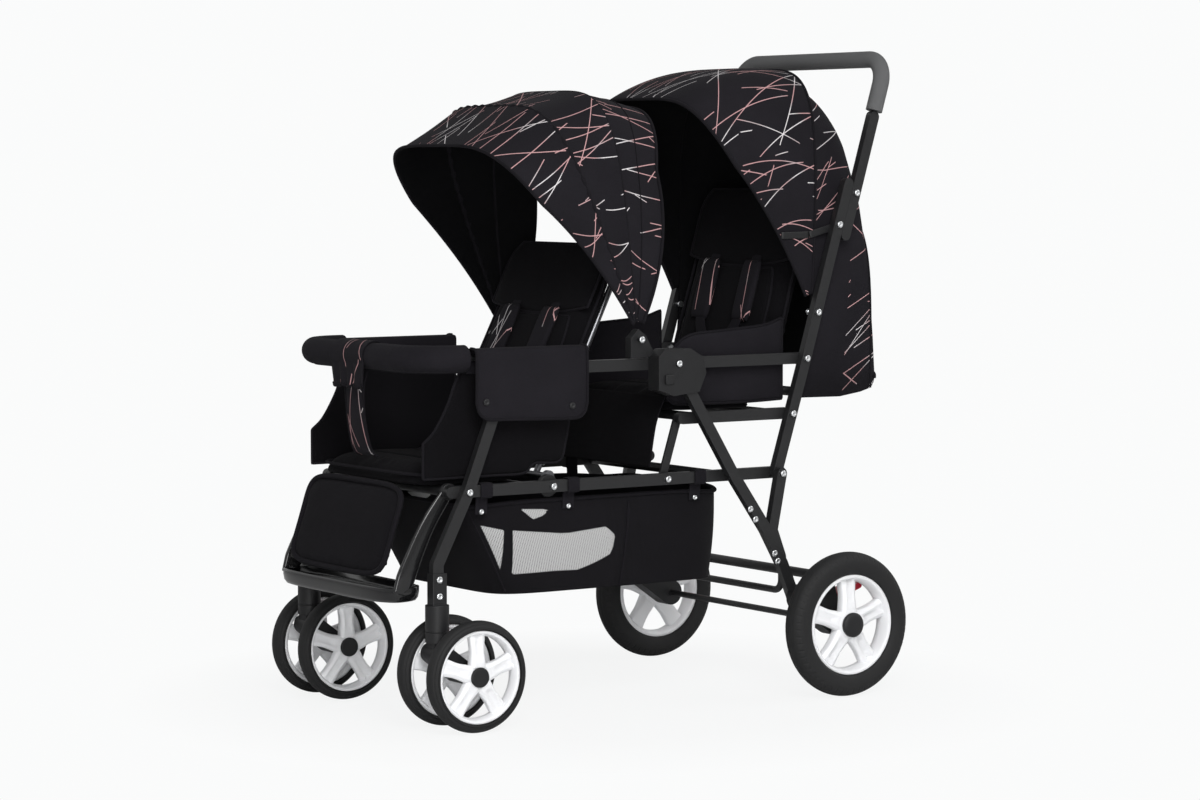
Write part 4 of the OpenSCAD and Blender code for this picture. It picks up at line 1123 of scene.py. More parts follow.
def make_seat_sides():
    """Padded side panels of both seats, the rear footwell panel and the arm flaps over the rails."""
    outlines = [
        through([at(*p) for p in line], 60)
        for line in (FRONT_SIDE_LOW, FRONT_SIDE_TOP, REAR_SIDE_LOW, REAR_SIDE_TOP)
    ]
    # The front side panels take the cloth darkened as painted shade; the rear side panels take the plain cloth.
    plans = (
        ("front_side", "chassis", "front_seat_sides", "pad cloth", *outlines[:2]),
        ("rear_side", "rear_seat", "rear_seat_sides", "cloth", *outlines[2:]),
    )
    for side, s in LEFT_RIGHT:
        for name, body, solid, finish, low, top in plans:
            flat = between(low, top, 30)
            grid = mirrored(np.concatenate([np.full(flat.shape[:2] + (1,), SOFT_X * MM), flat], -1), s)
            piece = pillow(f"{name}_{side}", grid, 0.0036, finish, body, node=solid)
            rim = np.vstack([grid[:, -1], grid[::-1, 0], grid[:1, -1]])
            line = evenly(rim, 260, True)
            out = np.broadcast_to([1.0, 0, 0], line.shape)
            trim = rod(
                f"{name}_piping_{side}", line, out, ring(PIPING_SMALL, 8), "binding", body, closed=True
            )
            for soft in (piece, trim):
                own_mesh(soft)
    well = through([at(*p) for p in ((112, 372), (117, 405), (124, 440), (134, 466), (142, 482))], 40)
    half = 0.163
    x = np.linspace(-half, half, 61)
    sag = 0.004 * np.cos(x / half * np.pi / 2)[None] * np.sin(np.linspace(0, np.pi, 40))[:, None]
    grid = np.stack(
        [np.broadcast_to(x[None], (40, 61)), well[:, :1] - sag, np.broadcast_to(well[:, 1:], (40, 61))], -1
    )
    # Both faces of the footwell take the cloth darkened as painted shade.
    piece = sheet(
        "rear_footwell", grid, "rear_seat", ["pad cloth", "pad cloth", "binding"]
    )
    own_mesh(piece)
    across, height = through(FLAP_SECTION, 70).T
    outer = across > 190
    hang = np.where(outer, np.clip((552 - height) / 94, 0, 1), 0)
    wave = np.clip((540 - height) / 80, 0, 1) * outer
    for side, s in LEFT_RIGHT:
        u = np.linspace(0, 1, 61)
        y = FLAP_FRONT + (FLAP_REAR - FLAP_FRONT) * u
        corner = np.maximum(0, np.maximum(FLAP_CORNER - (y - FLAP_FRONT), FLAP_CORNER - (FLAP_REAR - y)))
        lift = FLAP_CORNER - np.sqrt(np.maximum(0, FLAP_CORNER**2 - corner**2)) + 5 * (1 - u)
        z = height[None] + hang[None] * lift[:, None]
        x = across[None] + 1.2 * np.sin(3 * np.pi * u)[:, None] * wave[None]
        grid = np.stack([x * MM, np.broadcast_to(((y - MIDDLE) * MM)[:, None], x.shape), z * MM], -1)
        grid = mirrored(grid[::-1], s)
        piece = sheet(
            f"arm_flap_{side}",
            grid,
            "upper_rails",
            ["cloth", "cloth", "binding"],
            node="arm_flaps",
        )
        outward = grid if s > 0 else grid[:, ::-1]
        rim = np.vstack([outward[0, 20:], outward[:, -1], outward[-1, 20:][::-1]])
        trim = edge_rod(f"arm_flap_piping_{side}", rim, "upper_rails", radius=0.0024)
        for soft in (piece, trim):
            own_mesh(soft)
        places = [(s * 0.2052, *at(*spot)) for spot in ((-216, 489), (-62, 478))]
        snaps(f"arm_flap_snaps_{side}", places, s, 0.0052, "plastic", "upper_rails")


def snaps(name, places, s, radius, finish, body, height=0.0022):
    """Small domes with a dimple, turned about x: the profile is spun about each place at once."""
    r = np.array([0.0, 1.0, 1.0, 0.92, 0.7, 0.5, 0.42, 0.0]) * radius
    h = np.array([-0.5, -0.5, 0.35, 0.75, 1.0, 1.0, 0.7, 0.55]) * height
    a = np.linspace(0, 2 * np.pi, 28, endpoint=False)
    dome = np.stack([np.broadcast_to(s * h[:, None], (8, 28)), r[:, None] * np.cos(a), r[:, None] * np.sin(a)], -1)
    points = np.asarray(places)[:, None, None] + dome[None]
    faces = np.vstack([quads_of(8, 28, False, True) + k * 8 * 28 for k in range(len(places))])
    piece = build(name, points, faces, [finish], merge=FINE_WELD)
    return carry(piece, body)


# Bumper


def bumper_path(count, end=-238.0):
    """U-shaped line of the bumper: two legs and a front joined by quarter circles."""
    bend = 62.0
    a = np.linspace(0, np.pi / 2, 30)
    left = np.stack([RAIL_X - bend + bend * np.cos(a), BUMPER_FRONT + bend - bend * np.sin(a)], 1)
    line = np.vstack([[[RAIL_X, end]], left, left[::-1] * [-1, 1], [[-RAIL_X, end]]])
    line = np.stack([line[:, 0] * MM, (line[:, 1] - MIDDLE) * MM, np.full(len(line), BUMPER_HEIGHT * MM)], 1)
    return evenly(line, count)


def make_bumper():
    """Cloth-covered bumper padding and the printed strap with its gathered loop."""
    path = bumper_path(220)
    place = np.linspace(-1, 1, 220)
    bend = np.exp(-((np.abs(place) - 0.62) / 0.1) ** 2)
    size = 0.0205 * (1 + 0.012 * bend * np.sin(place * 130)) * np.clip((1 - np.abs(place)) * 60 + 0.75, 0, 1)
    profile = ring(1.0, 28)[None] * size[:, None, None]
    out = np.broadcast_to([0, 0, 1.0], path.shape)
    piece = rod("bumper_padding", path, out, profile, "cloth", "bumper", node="bumper_pad")
    rod("bumper_seam", path + [0, 0, -0.0206], out, ring(0.0013, 8), "binding", "bumper")
    printed = ["printed", "lining", "binding"]
    wrap_radius, loop_half, strap_half = 0.0232, 0.049, 0.029
    a = np.radians(np.linspace(-60, 205, 60))
    y0, z0 = at(BUMPER_FRONT, BUMPER_HEIGHT)
    wrap = np.stack([y0 + wrap_radius * np.cos(a), z0 + wrap_radius * np.sin(a)], 1)
    drop = np.linspace(0, 1, 26)[1:, None]
    hang = wrap[-1] + drop * np.array([0.0015, -0.034])
    line = np.vstack([wrap, hang])
    x = np.linspace(-loop_half, loop_half, 81)
    ramp = np.concatenate([np.zeros(60), drop[:, 0]])[:, None]
    gather = 0.0016 * np.sin(x / loop_half * np.pi * 4.5)[None] * (0.25 + ramp)
    scallop = 0.0045 * np.abs(np.cos(x / loop_half * np.pi * 1.5))[None] * ramp
    y = line[:, :1] - gather * (ramp > 0)
    z = line[:, 1:] - scallop + gather * 0.4 * (ramp == 0)
    grid = np.stack([np.broadcast_to(x[None], y.shape) * (1 - 0.05 * ramp), y, z], -1)
    loop = sheet(
        "bumper_loop", grid, "bumper", printed, node="bumper_strap"
    )
    hem = edge_rod("bumper_loop_hem", grid[-1], "bumper", radius=PIPING_SMALL)
    drop_line = through(
        [at(*p) for p in ((-318, 531), (-323, 505), (-322, 468), (-316, 430), (-308, 406), (-298, 399.5))], 50
    )
    x = np.linspace(-strap_half, strap_half, 31)
    waist = 1 - 0.1 * np.sin(np.linspace(0, np.pi, 50))[:, None]
    bow = 0.003 * (1 - (x / strap_half) ** 2)[None]
    grid = np.stack([x[None] * waist, drop_line[:, :1] - bow, np.broadcast_to(drop_line[:, 1:], (50, 31))], -1)
    strap = sheet("crotch_strap", grid, "bumper", printed)
    rims = [edge_rod(f"crotch_strap_edge_{k}", grid[:, k], "bumper", radius=0.0018) for k in (0, -1)]
    for soft in [loop, hem, strap] + rims:
        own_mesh(soft)


# Basket, in the drawing's millimetres; a seam is two side-view points, a web is a loop seen from the front.

BASKET_FLOOR, BASKET_DEPTH = 190, 143
BASKET_POWER = 7
BASKET_WEBS = (-205, -48, 190)
BASKET_SEAMS = ((-218, 326, -146, 194), (66, 322, 56, 190))
WEB_LOOP = (
    (171.4, 318), (172.4, 330), (173.6, 345), (173.7, 362), (175.5, 365.3), (186, 365.3), (188.4, 362), (188.6, 348),
    (186, 344.7), (177, 344.6), (172.6, 343),
)


def basket_half(h):
    """Half width at a share of the height: a straight taper with a slight belly."""
    return HALF * (0.82 + 0.055 * h) + 5 * np.sin(np.pi * np.clip(h, 0, 1))


def basket_ends(h):
    """Front and rear end at a share of the height, both leaning outwards."""
    return -165 - 74 * h, 255 + 7 * h


def basket_ring(h, z, share, count):
    """Rounded box seen from above, a superellipse; its half width and ends change with height."""
    half = basket_half(h) * share
    y0, y1 = basket_ends(h)
    a = -np.linspace(0, 2 * np.pi, count, endpoint=False)
    c, s = np.cos(a), np.sin(a)
    p = 2 / BASKET_POWER
    x = half * np.sign(c) * np.abs(c) ** p
    y = (y0 + y1) / 2 + (y1 - y0) / 2 * share * np.sign(s) * np.abs(s) ** p
    return np.stack([x, y - MIDDLE, np.broadcast_to(z, x.shape)], -1) * MM


WINDOWS = (
    ((-198, 300), (-160, 291), (-160, 228)),
    ((-146, 290), (-51, 280), (44, 288), (38, 250), (20, 220), (-67, 222), (-142, 221)),
    ((-134, 322), (-80, 319), (-91, 309), (-110, 304)),
)


def inside_distance(y, z, corners):
    """Distance inside a closed outline, below nothing outside: the least of the edge distances, signed by
    crossings.
    """
    p = np.asarray(corners, float)
    q = np.roll(p, -1, 0)
    d = q - p
    rel = np.stack([y, z], -1)[..., None, :] - p
    t = np.clip((rel * d).sum(-1) / (d * d).sum(-1), 0, 1)
    gap = np.linalg.norm(rel - t[..., None] * d, axis=-1).min(-1)
    crosses = ((p[:, 1] > z[..., None]) != (q[:, 1] > z[..., None])) & (
        y[..., None] < p[:, 0] + d[:, 0] * (z[..., None] - p[:, 1]) / np.where(d[:, 1] == 0, 1e-9, d[:, 1])
    )
    return np.where(crosses.sum(-1) % 2 == 1, gap, -gap)


def make_basket():
    """Sagging cloth basket with mesh windows, its hem, the webbing that hangs it and the snaps."""
    count, rows = 480, 46
    h = np.linspace(1, 0, rows)
    around = np.linspace(0, 2 * np.pi, count, endpoint=False)
    dip = 5 * (1 - np.cos(4 * around)) / 2
    wall = np.stack([basket_ring(k, BASKET_FLOOR + BASKET_DEPTH * k - dip * k, 1.0, count) for k in h])
    shares = np.linspace(1, 0.004, 20)[1:]
    floor = np.stack([basket_ring(0, BASKET_FLOOR - 7 * (1 - k**2), k, count) for k in shares])
    grid = np.concatenate([wall, floor])
    ripple = 1.2 * MM * np.sin(7 * around)[None] * np.sin(np.linspace(0, np.pi, rows))[:, None]
    grid[:rows] += normals(grid, False, True)[:rows] * ripple[..., None]
    if normals(grid, False, True)[rows // 2, 0, 0] <= 0:
        grid = grid[:, ::-1]
    y, z = grid[..., 1] / MM + MIDDLE, grid[..., 2] / MM
    near = np.max([inside_distance(y, z, w) for w in WINDOWS], 0)
    window = np.where(np.abs(grid[..., 0]) > 0.14, near * MM, -0.01)
    points, faces, _ = shell(grid, 0.0018, True)
    uv = np.stack([span(grid, 1), span(grid, 0)], -1).reshape(-1, 2)
    piece = build("basket_cloth", points, faces, ["basket"], uv=np.concatenate([uv, uv]))
    mark = piece.data.attributes.new("window", "FLOAT", "POINT")
    mark.data.foreach_set("value", np.concatenate([window.ravel()] * 2).astype(np.float32))
    carry(piece, "chassis", "basket")
    line = evenly(np.vstack([wall[0], wall[0][:1]]), 300, True)
    up = np.broadcast_to([0, 0, 1.0], line.shape)
    hem = rod("basket_hem", line, up, ring(0.0032, 10, 1.4), "binding", "chassis", closed=True)
    folding = [piece, hem]
    for side, s in LEFT_RIGHT:
        for k, y in enumerate(BASKET_WEBS):
            line = through(WEB_LOOP, 80)
            path = np.stack([s * line[:, 0] * MM, np.full(80, (y - MIDDLE) * MM), line[:, 1] * MM], 1)
            out = np.broadcast_to([0, 1.0, 0], path.shape)
            rod(f"basket_web_{side}_{k}", path, out, ring(0.0105, 16, 0.11, 6.0), "webbing", "chassis")
        places = [(s * 0.1728, *at(y, 322)) for y in BASKET_WEBS]
        snaps(f"basket_snaps_{side}", places, s, 0.0042, "steel", "chassis")
        for k, (y0, z0, y1, z1) in enumerate(BASKET_SEAMS):
            t = np.linspace(0, 1, 40)
            y, z = y0 + (y1 - y0) * t, z0 + (z1 - z0) * t
            height = (z - BASKET_FLOOR) / BASKET_DEPTH
            low, high = basket_ends(height)
            bend = (1 - np.abs((2 * y - low - high) / (high - low)) ** BASKET_POWER) ** (1 / BASKET_POWER)
            x = basket_half(height) * bend + 0.6
            path = np.stack([s * x * MM, (y - MIDDLE) * MM, z * MM], 1)
            out = np.broadcast_to([0, 1.0, 0], path.shape)
            folding.append(
                rod(f"basket_seam_{side}_{k}", path, out, ring(0.002, 8), "binding", "chassis")
            )
    for soft in folding:
        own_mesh(soft)


# Wheels: axles and half the gap of a front pair in the drawing's millimetres, other sizes in metres.

SPOKES = 5
FRONT_AXLE, FRONT_PAIR = (-254, 84), 42
REAR_AXLE, REAR_TRACK = (420, 115), 0.2656
FRONT_WHEEL = dict(radius=0.084, rim=0.07098, width=0.03, blocks=0, hub_in=0.0177, hub_out=0.008, cap=0.015)
REAR_WHEEL = dict(radius=0.115, rim=0.0805, width=0.04, blocks=60, hub_in=0.0224, hub_out=0.014, cap=0.019)


def spun(profile, count):
    """Profile of (axial, radial) points turned a full circle about the wheel's own axis."""
    a = np.linspace(0, 2 * np.pi, count, endpoint=False)
    p = np.asarray(profile, float)
    return np.stack([np.broadcast_to(p[:, :1], (len(p), count)), p[:, 1:] * np.cos(a), p[:, 1:] * np.sin(a)], -1)


def on_wheel(local, centre, s):
    """Wheel points placed on an axle, with the outer face towards s."""
    return local * np.array([s, 1, 1]) + np.asarray(centre)


def tyre_profile(radius, rim, width, steps=40):
    """Rounded tyre section from bead to bead: straight flanks and an elliptical crown."""
    a = np.linspace(-np.pi / 2, np.pi / 2, steps)
    w = width / 2
    crown = np.stack([w * np.sin(a), radius - w * 0.86 + w * 0.86 * np.cos(a) ** 0.9], 1)
    bead = np.array([[w * 0.98, rim + 0.004], [w * 0.7, rim - 0.001]])
    return np.vstack([bead[::-1] * [-1, 1], crown, bead])


def make_tyre(name, centre, s, radius, rim, width, blocks, body, solid):
    """Tyre spun from its section: shoulder slits cut by a square wave round the rim, or one plain groove a side."""
    count = blocks * 10 if blocks else 240
    section = tyre_profile(radius, rim, width)
    p = spun(section, count)
    side = np.abs(section[:, 0]) / (width / 2)
    if blocks:
        shoulder = np.exp(-(((side - 0.86) / 0.13) ** 2)) * (section[:, 1] > radius - width * 0.42)
        wave = (np.arange(count) % 10 < 2).astype(float)
        rows = np.exp(-(((side - 0.3) / 0.05) ** 2)) * 0.5 * (section[:, 1] > radius - width * 0.3)
        cut = 0.0016 * (shoulder[:, None] * wave[None] + rows[:, None])
    else:
        cut = 0.0011 * np.exp(-(((side - 0.72) / 0.07) ** 2))[:, None] * (section[:, 1:] > radius - width * 0.5)
    length = np.linalg.norm(p[..., 1:], axis=-1)
    p[..., 1:] *= ((length - cut) / length)[..., None]
    piece = build(
        name, on_wheel(p, centre, s), quads_of(len(section), count, True, True), ["tyre"], merge=WHEEL_WELD
    )
    carry(piece, body, solid)


def make_rim(name, centre, s, radius, width, hub_in, hub_out, cap, body, solid):
    """White rim: a dished hoop, a stepped hub and broad grooved spokes, each a squared section carried outwards."""
    w = width * 0.8 / 2
    wall = radius * 0.11
    hoop = [
        (-w, radius - 0.0008),
        (w * 0.9, radius - 0.0008),
        (w, radius - 0.002),
        (w, radius - wall * 0.62),
        (w * 0.82, radius - wall * 0.8),
        (w * 0.1, radius - wall * 1.2),
        (-w * 0.6, radius - wall * 1.15),
        (-w, radius - wall * 0.7),
    ]
    parts = [(spun(hoop, 160), quads_of(len(hoop), 160, True, True))]
    hub = radius * 0.3
    bore = 0.0052
    turned = [
        (-hub_in, bore),
        (-hub_in, hub * 0.62),
        (-w * 0.7, hub * 0.95),
        (w * 0.15, hub * 1.12),
        (w * 0.4, hub * 1.0),
        (hub_out * 0.92, cap + 0.0035),
        (hub_out, cap + 0.002),
        (hub_out, bore),
    ]
    parts.append((spun(turned, 96), quads_of(len(turned), 96, True, True)))
    t = np.linspace(0, 1, 26)
    a = np.linspace(0, 2 * np.pi, 40, endpoint=False)
    c, q = np.cos(a), np.sin(a)
    run = hub * 0.7 + (radius - wall * 0.9 - hub * 0.7) * t
    half = radius * (0.178 + 0.014 * np.cos(2 * np.pi * t))
    deep = w * (0.62 - 0.12 * t)
    across = np.sign(c)[None] * np.abs(c)[None] ** 0.45 * half[:, None]
    face = np.sign(q)[None] * np.abs(q)[None] ** 0.5 * deep[:, None]
    share = across / half[:, None]
    front = q[None] > 0
    groove = np.exp(-((share / 0.2) ** 4)) * 0.95 * np.clip((t[:, None] - 0.18) * 6, 0, 1)
    ridge = 0.2 * np.exp(-(((np.abs(share) - 0.5) / 0.2) ** 2))
    boss = 0.42 * np.exp(-((share / 0.2) ** 2) - (((t[:, None] - 0.86) / 0.09) ** 2))
    face = np.where(front, face + deep[:, None] * (ridge - groove + boss), face) + w * 0.12 - w * 0.2 * t[:, None]
    for k in range(SPOKES):
        turn = 2 * np.pi * k / SPOKES + np.pi / 2
        y = run[:, None] * np.cos(turn) - across * np.sin(turn)
        z = run[:, None] * np.sin(turn) + across * np.cos(turn)
        parts.append((np.stack([face, y, z], -1), quads_of(26, 40, False, True)))
    points, faces, base = [], [], 0
    for grid, quads in parts:
        points.append(on_wheel(grid, centre, s).reshape(-1, 3))
        faces.append(quads + base)
        base += grid.shape[0] * grid.shape[1]
    piece = build(name, np.vstack(points), np.vstack(faces), ["rim"], merge=WHEEL_WELD)
    carry(piece, body, solid)


def make_wheel(end, place, centre, s, size):
    """One wheel: a tyre and a rim of one table of sizes."""
    rim, width, body = size["rim"], size["width"], f"{end}_wheel_{place}"
    solid = f"{end}_tyre_{place}"
    make_tyre(f"{solid}_rubber", centre, s, size["radius"], rim, width, size["blocks"], body, solid)
    solid = f"{end}_rim_{place}"
    make_rim(f"{solid}_white", centre, s, rim, width, size["hub_in"], size["hub_out"], size["cap"], body, solid)


def make_wheels():
    """Four front and two rear wheels."""
    for side, s in LEFT_RIGHT:
        for place, w in (("outer", 1.0), ("inner", -1.0)):
            centre = (s * (HALF + w * FRONT_PAIR) * MM, *at(*FRONT_AXLE))
            make_wheel("front", f"{side}_{place}", centre, s * w, FRONT_WHEEL)
        make_wheel("rear", side, (s * REAR_TRACK, *at(*REAR_AXLE)), s, REAR_WHEEL)


# Hard parts: solids by finish, rivets in the drawing's millimetres, the hub cap's (axial, radial) points in metres.

TUBES = (
    "lower_rails",
    "front_legs",
    "handle_tubes",
    "handle_upper",
    "upper_rails",
    "rear_legs",
    "seat_support",
    "rear_seat_base",
)
MOULDINGS = (
    "lock_housings",
    "axle_housings",
    "caster_sockets",
    "caster_fork_left",
    "caster_fork_right",
    "lock_catches",
    "caster_axle_left",
    "caster_axle_right",
    "recline_hubs",
)
LEVERS = ("brake_pedal_left", "brake_pedal_right", "caster_lock_left", "caster_lock_right")
PLAIN_FINISHES = {
    "chassis_pins": "steel",
    "handle_pins": "steel",
    "rear_axle": "tube",
    "rear_crossbars": "tube",
    "front_back_rod": "dark rod",
    "bumper_bar": "tube",
    "handle_grip": "foam",
}
RIVETS = {
    "chassis": ((202.2, -243, 355), (189.7, -85, 355), (189.7, 128, 355), (214.7, 333, 355)),
    "handle": (
        (202.2, 390, 535), (202.2, 362.47, 448.06), (202.2, 454.3, 746.9), (202.2, 488.6, 797.1), (202.2, 412, 608)
    ),
    "front_legs": ((202.7, -297, 228), (202.7, -297, 203)),
    "rear_legs": ((212.2, 318, 229), (212.2, 324, 216), (212.2, 270, 302), (212.2, 280, 285), (243.2, 396, 190)),
    "upper_rails": ((218.6, 128, 536), (201.0, 70, 574)),
}
HUB_CAP = ((-0.004, 0.0), (-0.004, 0.0195), (0.0, 0.0195), (0.0016, 0.018), (0.003, 0.012), (0.0034, 0.0))
HUB_CAP_OUT = 0.0196


def eased(solid, finish, width):
    """Copy of a solid with its corners rounded, in its solid's place."""
    source = frame["nodes"][solid]
    mesh = source.data.copy()
    mesh.name = f"{solid}_eased"
    work = bmesh.new()
    work.from_mesh(mesh)
    bmesh.ops.remove_doubles(work, verts=work.verts, dist=2e-6)
    bmesh.ops.dissolve_limit(work, angle_limit=math.radians(0.5), verts=work.verts, edges=work.edges)
    work.to_mesh(mesh)
    work.free()
    mesh.materials.clear()
    mesh.materials.append(MATERIALS[finish])
    mesh.polygons.foreach_set("material_index", np.zeros(len(mesh.polygons), np.int32))
    mesh.polygons.foreach_set("use_smooth", np.ones(len(mesh.polygons), bool))
    mesh.set_sharp_from_angle(angle=math.radians(32))
    piece = bpy.data.objects.new(f"{solid}_eased", mesh)
    bpy.context.scene.collection.objects.link(piece)
    rounding = piece.modifiers.new("ease", "BEVEL")
    rounding.width = width
    rounding.segments = 3
    rounding.limit_method = "ANGLE"
    rounding.angle_limit = math.radians(40)
    rounding.use_clamp_overlap = True
    rounding.harden_normals = False
    body = next(b for b, members in frame["record"]["behaviour"]["bodies"].items() if solid in members)
    return carry(piece, body, solid)


def make_hard_parts():
    """Tubes, housings, levers and pins: eased copies of their solids, and plain finishes on the rest."""
    edge = bpy.context.scene.pushchair_frame.edge
    for solid in TUBES:
        eased(solid, "tube", edge * 1.6)
    for solid in MOULDINGS:
        eased(solid, "plastic", edge)
    for solid in LEVERS:
        eased(solid, "lever", edge)
    for solid, finish in PLAIN_FINISHES.items():
        mesh = frame["nodes"][solid].data
        mesh.materials.clear()
        mesh.materials.append(MATERIALS[finish])
    for body, spots in RIVETS.items():
        for side, s in LEFT_RIGHT:
            places = [(s * x * MM, *at(y, z)) for x, y, z in spots]
            snaps(f"rivets_{body}_{side}", places, s, 0.0052, "steel", body, height=0.0018)
    p = spun(HUB_CAP, 64)
    for side, s in LEFT_RIGHT:
        spot = (s * (REAR_TRACK + HUB_CAP_OUT), *at(*REAR_AXLE))
        faces = quads_of(len(HUB_CAP), 64, False, True)
        piece = build(f"rear_hub_cap_{side}", on_wheel(p, spot, s), faces, ["plastic"], merge=FINE_WELD)
        carry(piece, "rear_legs")


# Footrest: the tray in the drawing's millimetres, its section as (share of reach, height), its arms' x in metres.
TRAY_HALF, TRAY_MIDDLE, TRAY_REACH = 174, -334, 38
TRAY_ARM = 0.1695
TRAY_SECTION = (
    (0.002, 201), (0.3, 201), (0.6, 201.4), (0.8, 202.5), (0.9, 206), (0.955, 213), (0.985, 216), (1.0, 214),
    (1.0, 206), (0.985, 198), (0.95, 193.5), (0.85, 192), (0.5, 192), (0.002, 192),
)


def make_footrest():
    """Glossy dished tray with a raised lip, arms that sweep up to the front cross tube, and their collars."""
    u = np.linspace(0, 2 * np.pi, 200, endpoint=False)
    c, s = np.cos(u), np.sin(u)
    ox = np.sign(c) * np.abs(c) ** 0.42
    oy = np.sign(s) * np.abs(s) ** 0.62
    section = np.array(TRAY_SECTION)
    share = section[:, :1]
    x = TRAY_HALF * ox[None] * share
    y = TRAY_MIDDLE + TRAY_REACH * oy[None] * share
    sides = np.clip((np.abs(ox)[None] * share - 0.86) / 0.14, 0, 1)
    z = section[:, 1:] * np.ones_like(u) + sides * np.clip(oy[None] * share + 0.25, 0, 1.25) ** 2 * 5
    p = np.stack([x, y - MIDDLE, z], -1) * MM
    tray = build("footrest_tray", p, quads_of(len(section), 200, False, True), ["gloss plastic"], merge=1e-4)
    carry(tray, "chassis", "footrest")
    for side, sign in LEFT_RIGHT:
        line = through([at(*q) for q in ((-346, 205), (-340, 220), (-326, 252), (-298, 306), (-265, 352))], 50)
        wide = np.interp(np.linspace(0, 1, 50), [0, 0.15, 0.5, 1], [0.012, 0.0155, 0.0135, 0.0105])
        path = np.stack([np.full(50, sign * TRAY_ARM), line[:, 0], line[:, 1]], 1)
        out = np.broadcast_to([0, 1.0, -0.3], path.shape)
        profile = ring(1.0, 24, 0.34, 3.5)[None] * wide[:, None, None]
        rod(f"footrest_arm_{side}", path, out, profile, "gloss plastic", "chassis")
        a = np.linspace(0, 2 * np.pi, 64, endpoint=False)[:, None]
        square = ring(1.0, 24, 1.0, 4.0)
        radius = (0.0104 + 0.0024 * square[:, 1])[None]
        spot = at(-262, 355)
        x = np.broadcast_to((sign * TRAY_ARM + 0.0048 * square[:, 0])[None], (64, 24))
        grid = np.stack([x, spot[0] + radius * np.cos(a), spot[1] + radius * np.sin(a)], -1)
        faces = quads_of(64, 24, True, True)
        collar = build(f"footrest_collar_{side}", grid, faces, ["plastic"], merge=WHEEL_WELD)
        carry(collar, "chassis")


# Stage: lamps by name, place, size and power.

SKY = (0.96, 0.965, 0.965, 1)
LAMP_AIM = (0, 0, 0.45)
LAMPS = (
    ("key", (3.6, -1.5, 3.0), 2.2, 140.0),
    ("fill", (-2.8, -2.4, 2.4), 2.6, 12.0),
    ("back", (1.4, 3.2, 3.0), 2.4, 40.0),
    ("low", (3.8, -2.6, 0.7), 1.6, 55.0),
)


def make_stage():
    """Camera at the photograph's angle, a pale floor and plain soft light."""
    stage = bpy.context.scene.pushchair_stage
    scene = bpy.context.scene
    camera = bpy.data.objects.new("camera", bpy.data.cameras.new("camera"))
    camera.data.lens = stage.lens
    camera.data.sensor_width = 36.0
    camera.data.clip_end = 60
    a, e = stage.azimuth, stage.elevation
    back = np.array([math.sin(a) * math.cos(e), -math.cos(a) * math.cos(e), math.sin(e)])
    camera.location = np.array(stage.target) + back * stage.distance
    right = np.cross([0, 0, 1.0], back)
    right /= np.linalg.norm(right)
    up = np.cross(back, right)
    turn = np.eye(4)
    turn[:3, 0], turn[:3, 1], turn[:3, 2], turn[:3, 3] = right, up, back, camera.location
    camera.matrix_world = Matrix(turn.tolist())
    scene.collection.objects.link(camera)
    scene.camera = camera
    side = 9.0
    corners = np.array([[-side, -side, 0], [side, -side, 0], [side, side, 0], [-side, side, 0]], float)
    made, t, shader = new_material("floor", 0.6, specular=0.2)
    paper = node(
        t, "ShaderNodeTexNoise", {"Vector": node(t, "ShaderNodeTexCoord").outputs["Object"], "Scale": 3.0}
    ).outputs[0]
    t.links.new(blend_colour(t, paper, (0.9, 0.9, 0.905, 1), (0.93, 0.93, 0.93, 1)), shader.inputs["Base Color"])
    glow = node(t, "ShaderNodeEmission", {"Color": SKY, "Strength": 1.0})
    far = node(
        t, "ShaderNodeVectorMath", {0: node(t, "ShaderNodeTexCoord").outputs["Object"]}, operation="LENGTH"
    ).outputs["Value"]
    fade = math_node(t, "ADD", math_node(t, "MULTIPLY", math_node(t, "SUBTRACT", far, 0.45), 0.3, True), 0.91, True)
    seen = math_node(t, "MULTIPLY", node(t, "ShaderNodeLightPath").outputs["Is Camera Ray"], fade)
    mixed = node(t, "ShaderNodeMixShader", {0: seen, 1: shader.outputs[0], 2: glow.outputs[0]})
    t.links.new(mixed.outputs[0], t.nodes["Material Output"].inputs["Surface"])
    MATERIALS["floor"] = made
    floor = build("floor", corners, np.array([[0, 1, 2, 3]]), ["floor"])
    world = bpy.data.worlds.new("studio")
    scene.world = world
    world.use_nodes = True
    t = world.node_tree
    t.nodes.clear()
    path = node(t, "ShaderNodeLightPath").outputs
    shown = math_node(t, "MAXIMUM", path["Is Camera Ray"], path["Is Transmission Ray"])
    shown = math_node(t, "MAXIMUM", shown, math_node(t, "MULTIPLY", path["Is Glossy Ray"], 0.5))
    strength = math_node(t, "ADD", math_node(t, "MULTIPLY", shown, 0.82), 0.18)
    sky = node(t, "ShaderNodeBackground", {"Color": SKY, "Strength": strength})
    node(t, "ShaderNodeOutputWorld", {"Surface": sky.outputs[0]})
    for name, spot, size, power in LAMPS:
        lamp = bpy.data.lights.new(name, "AREA")
        lamp.size = size
        lamp.energy = power
        holder = bpy.data.objects.new(name, lamp)
        scene.collection.objects.link(holder)
        to = np.array(LAMP_AIM) - np.array(spot)
        holder.location = spot
        holder.rotation_euler = Vector(to).to_track_quat("-Z", "Y").to_euler()
    scene.view_settings.view_transform = "Standard"


# Operators, panel and registration


class PUSHCHAIR_OT_finishes(bpy.types.Operator):
    """Makes the cloth, plastic, metal and rubber finishes."""

    bl_idname = "pushchair.finishes"
    bl_label = "Finishes"

    def execute(self, context):
        make_finishes()
        return {"FINISHED"}


class PUSHCHAIR_OT_stage(bpy.types.Operator):
    """Sets up the camera, the pale floor and the light."""

    bl_idname = "pushchair.stage"
    bl_label = "Stage"

    def execute(self, context):
        make_stage()
        return {"FINISHED"}


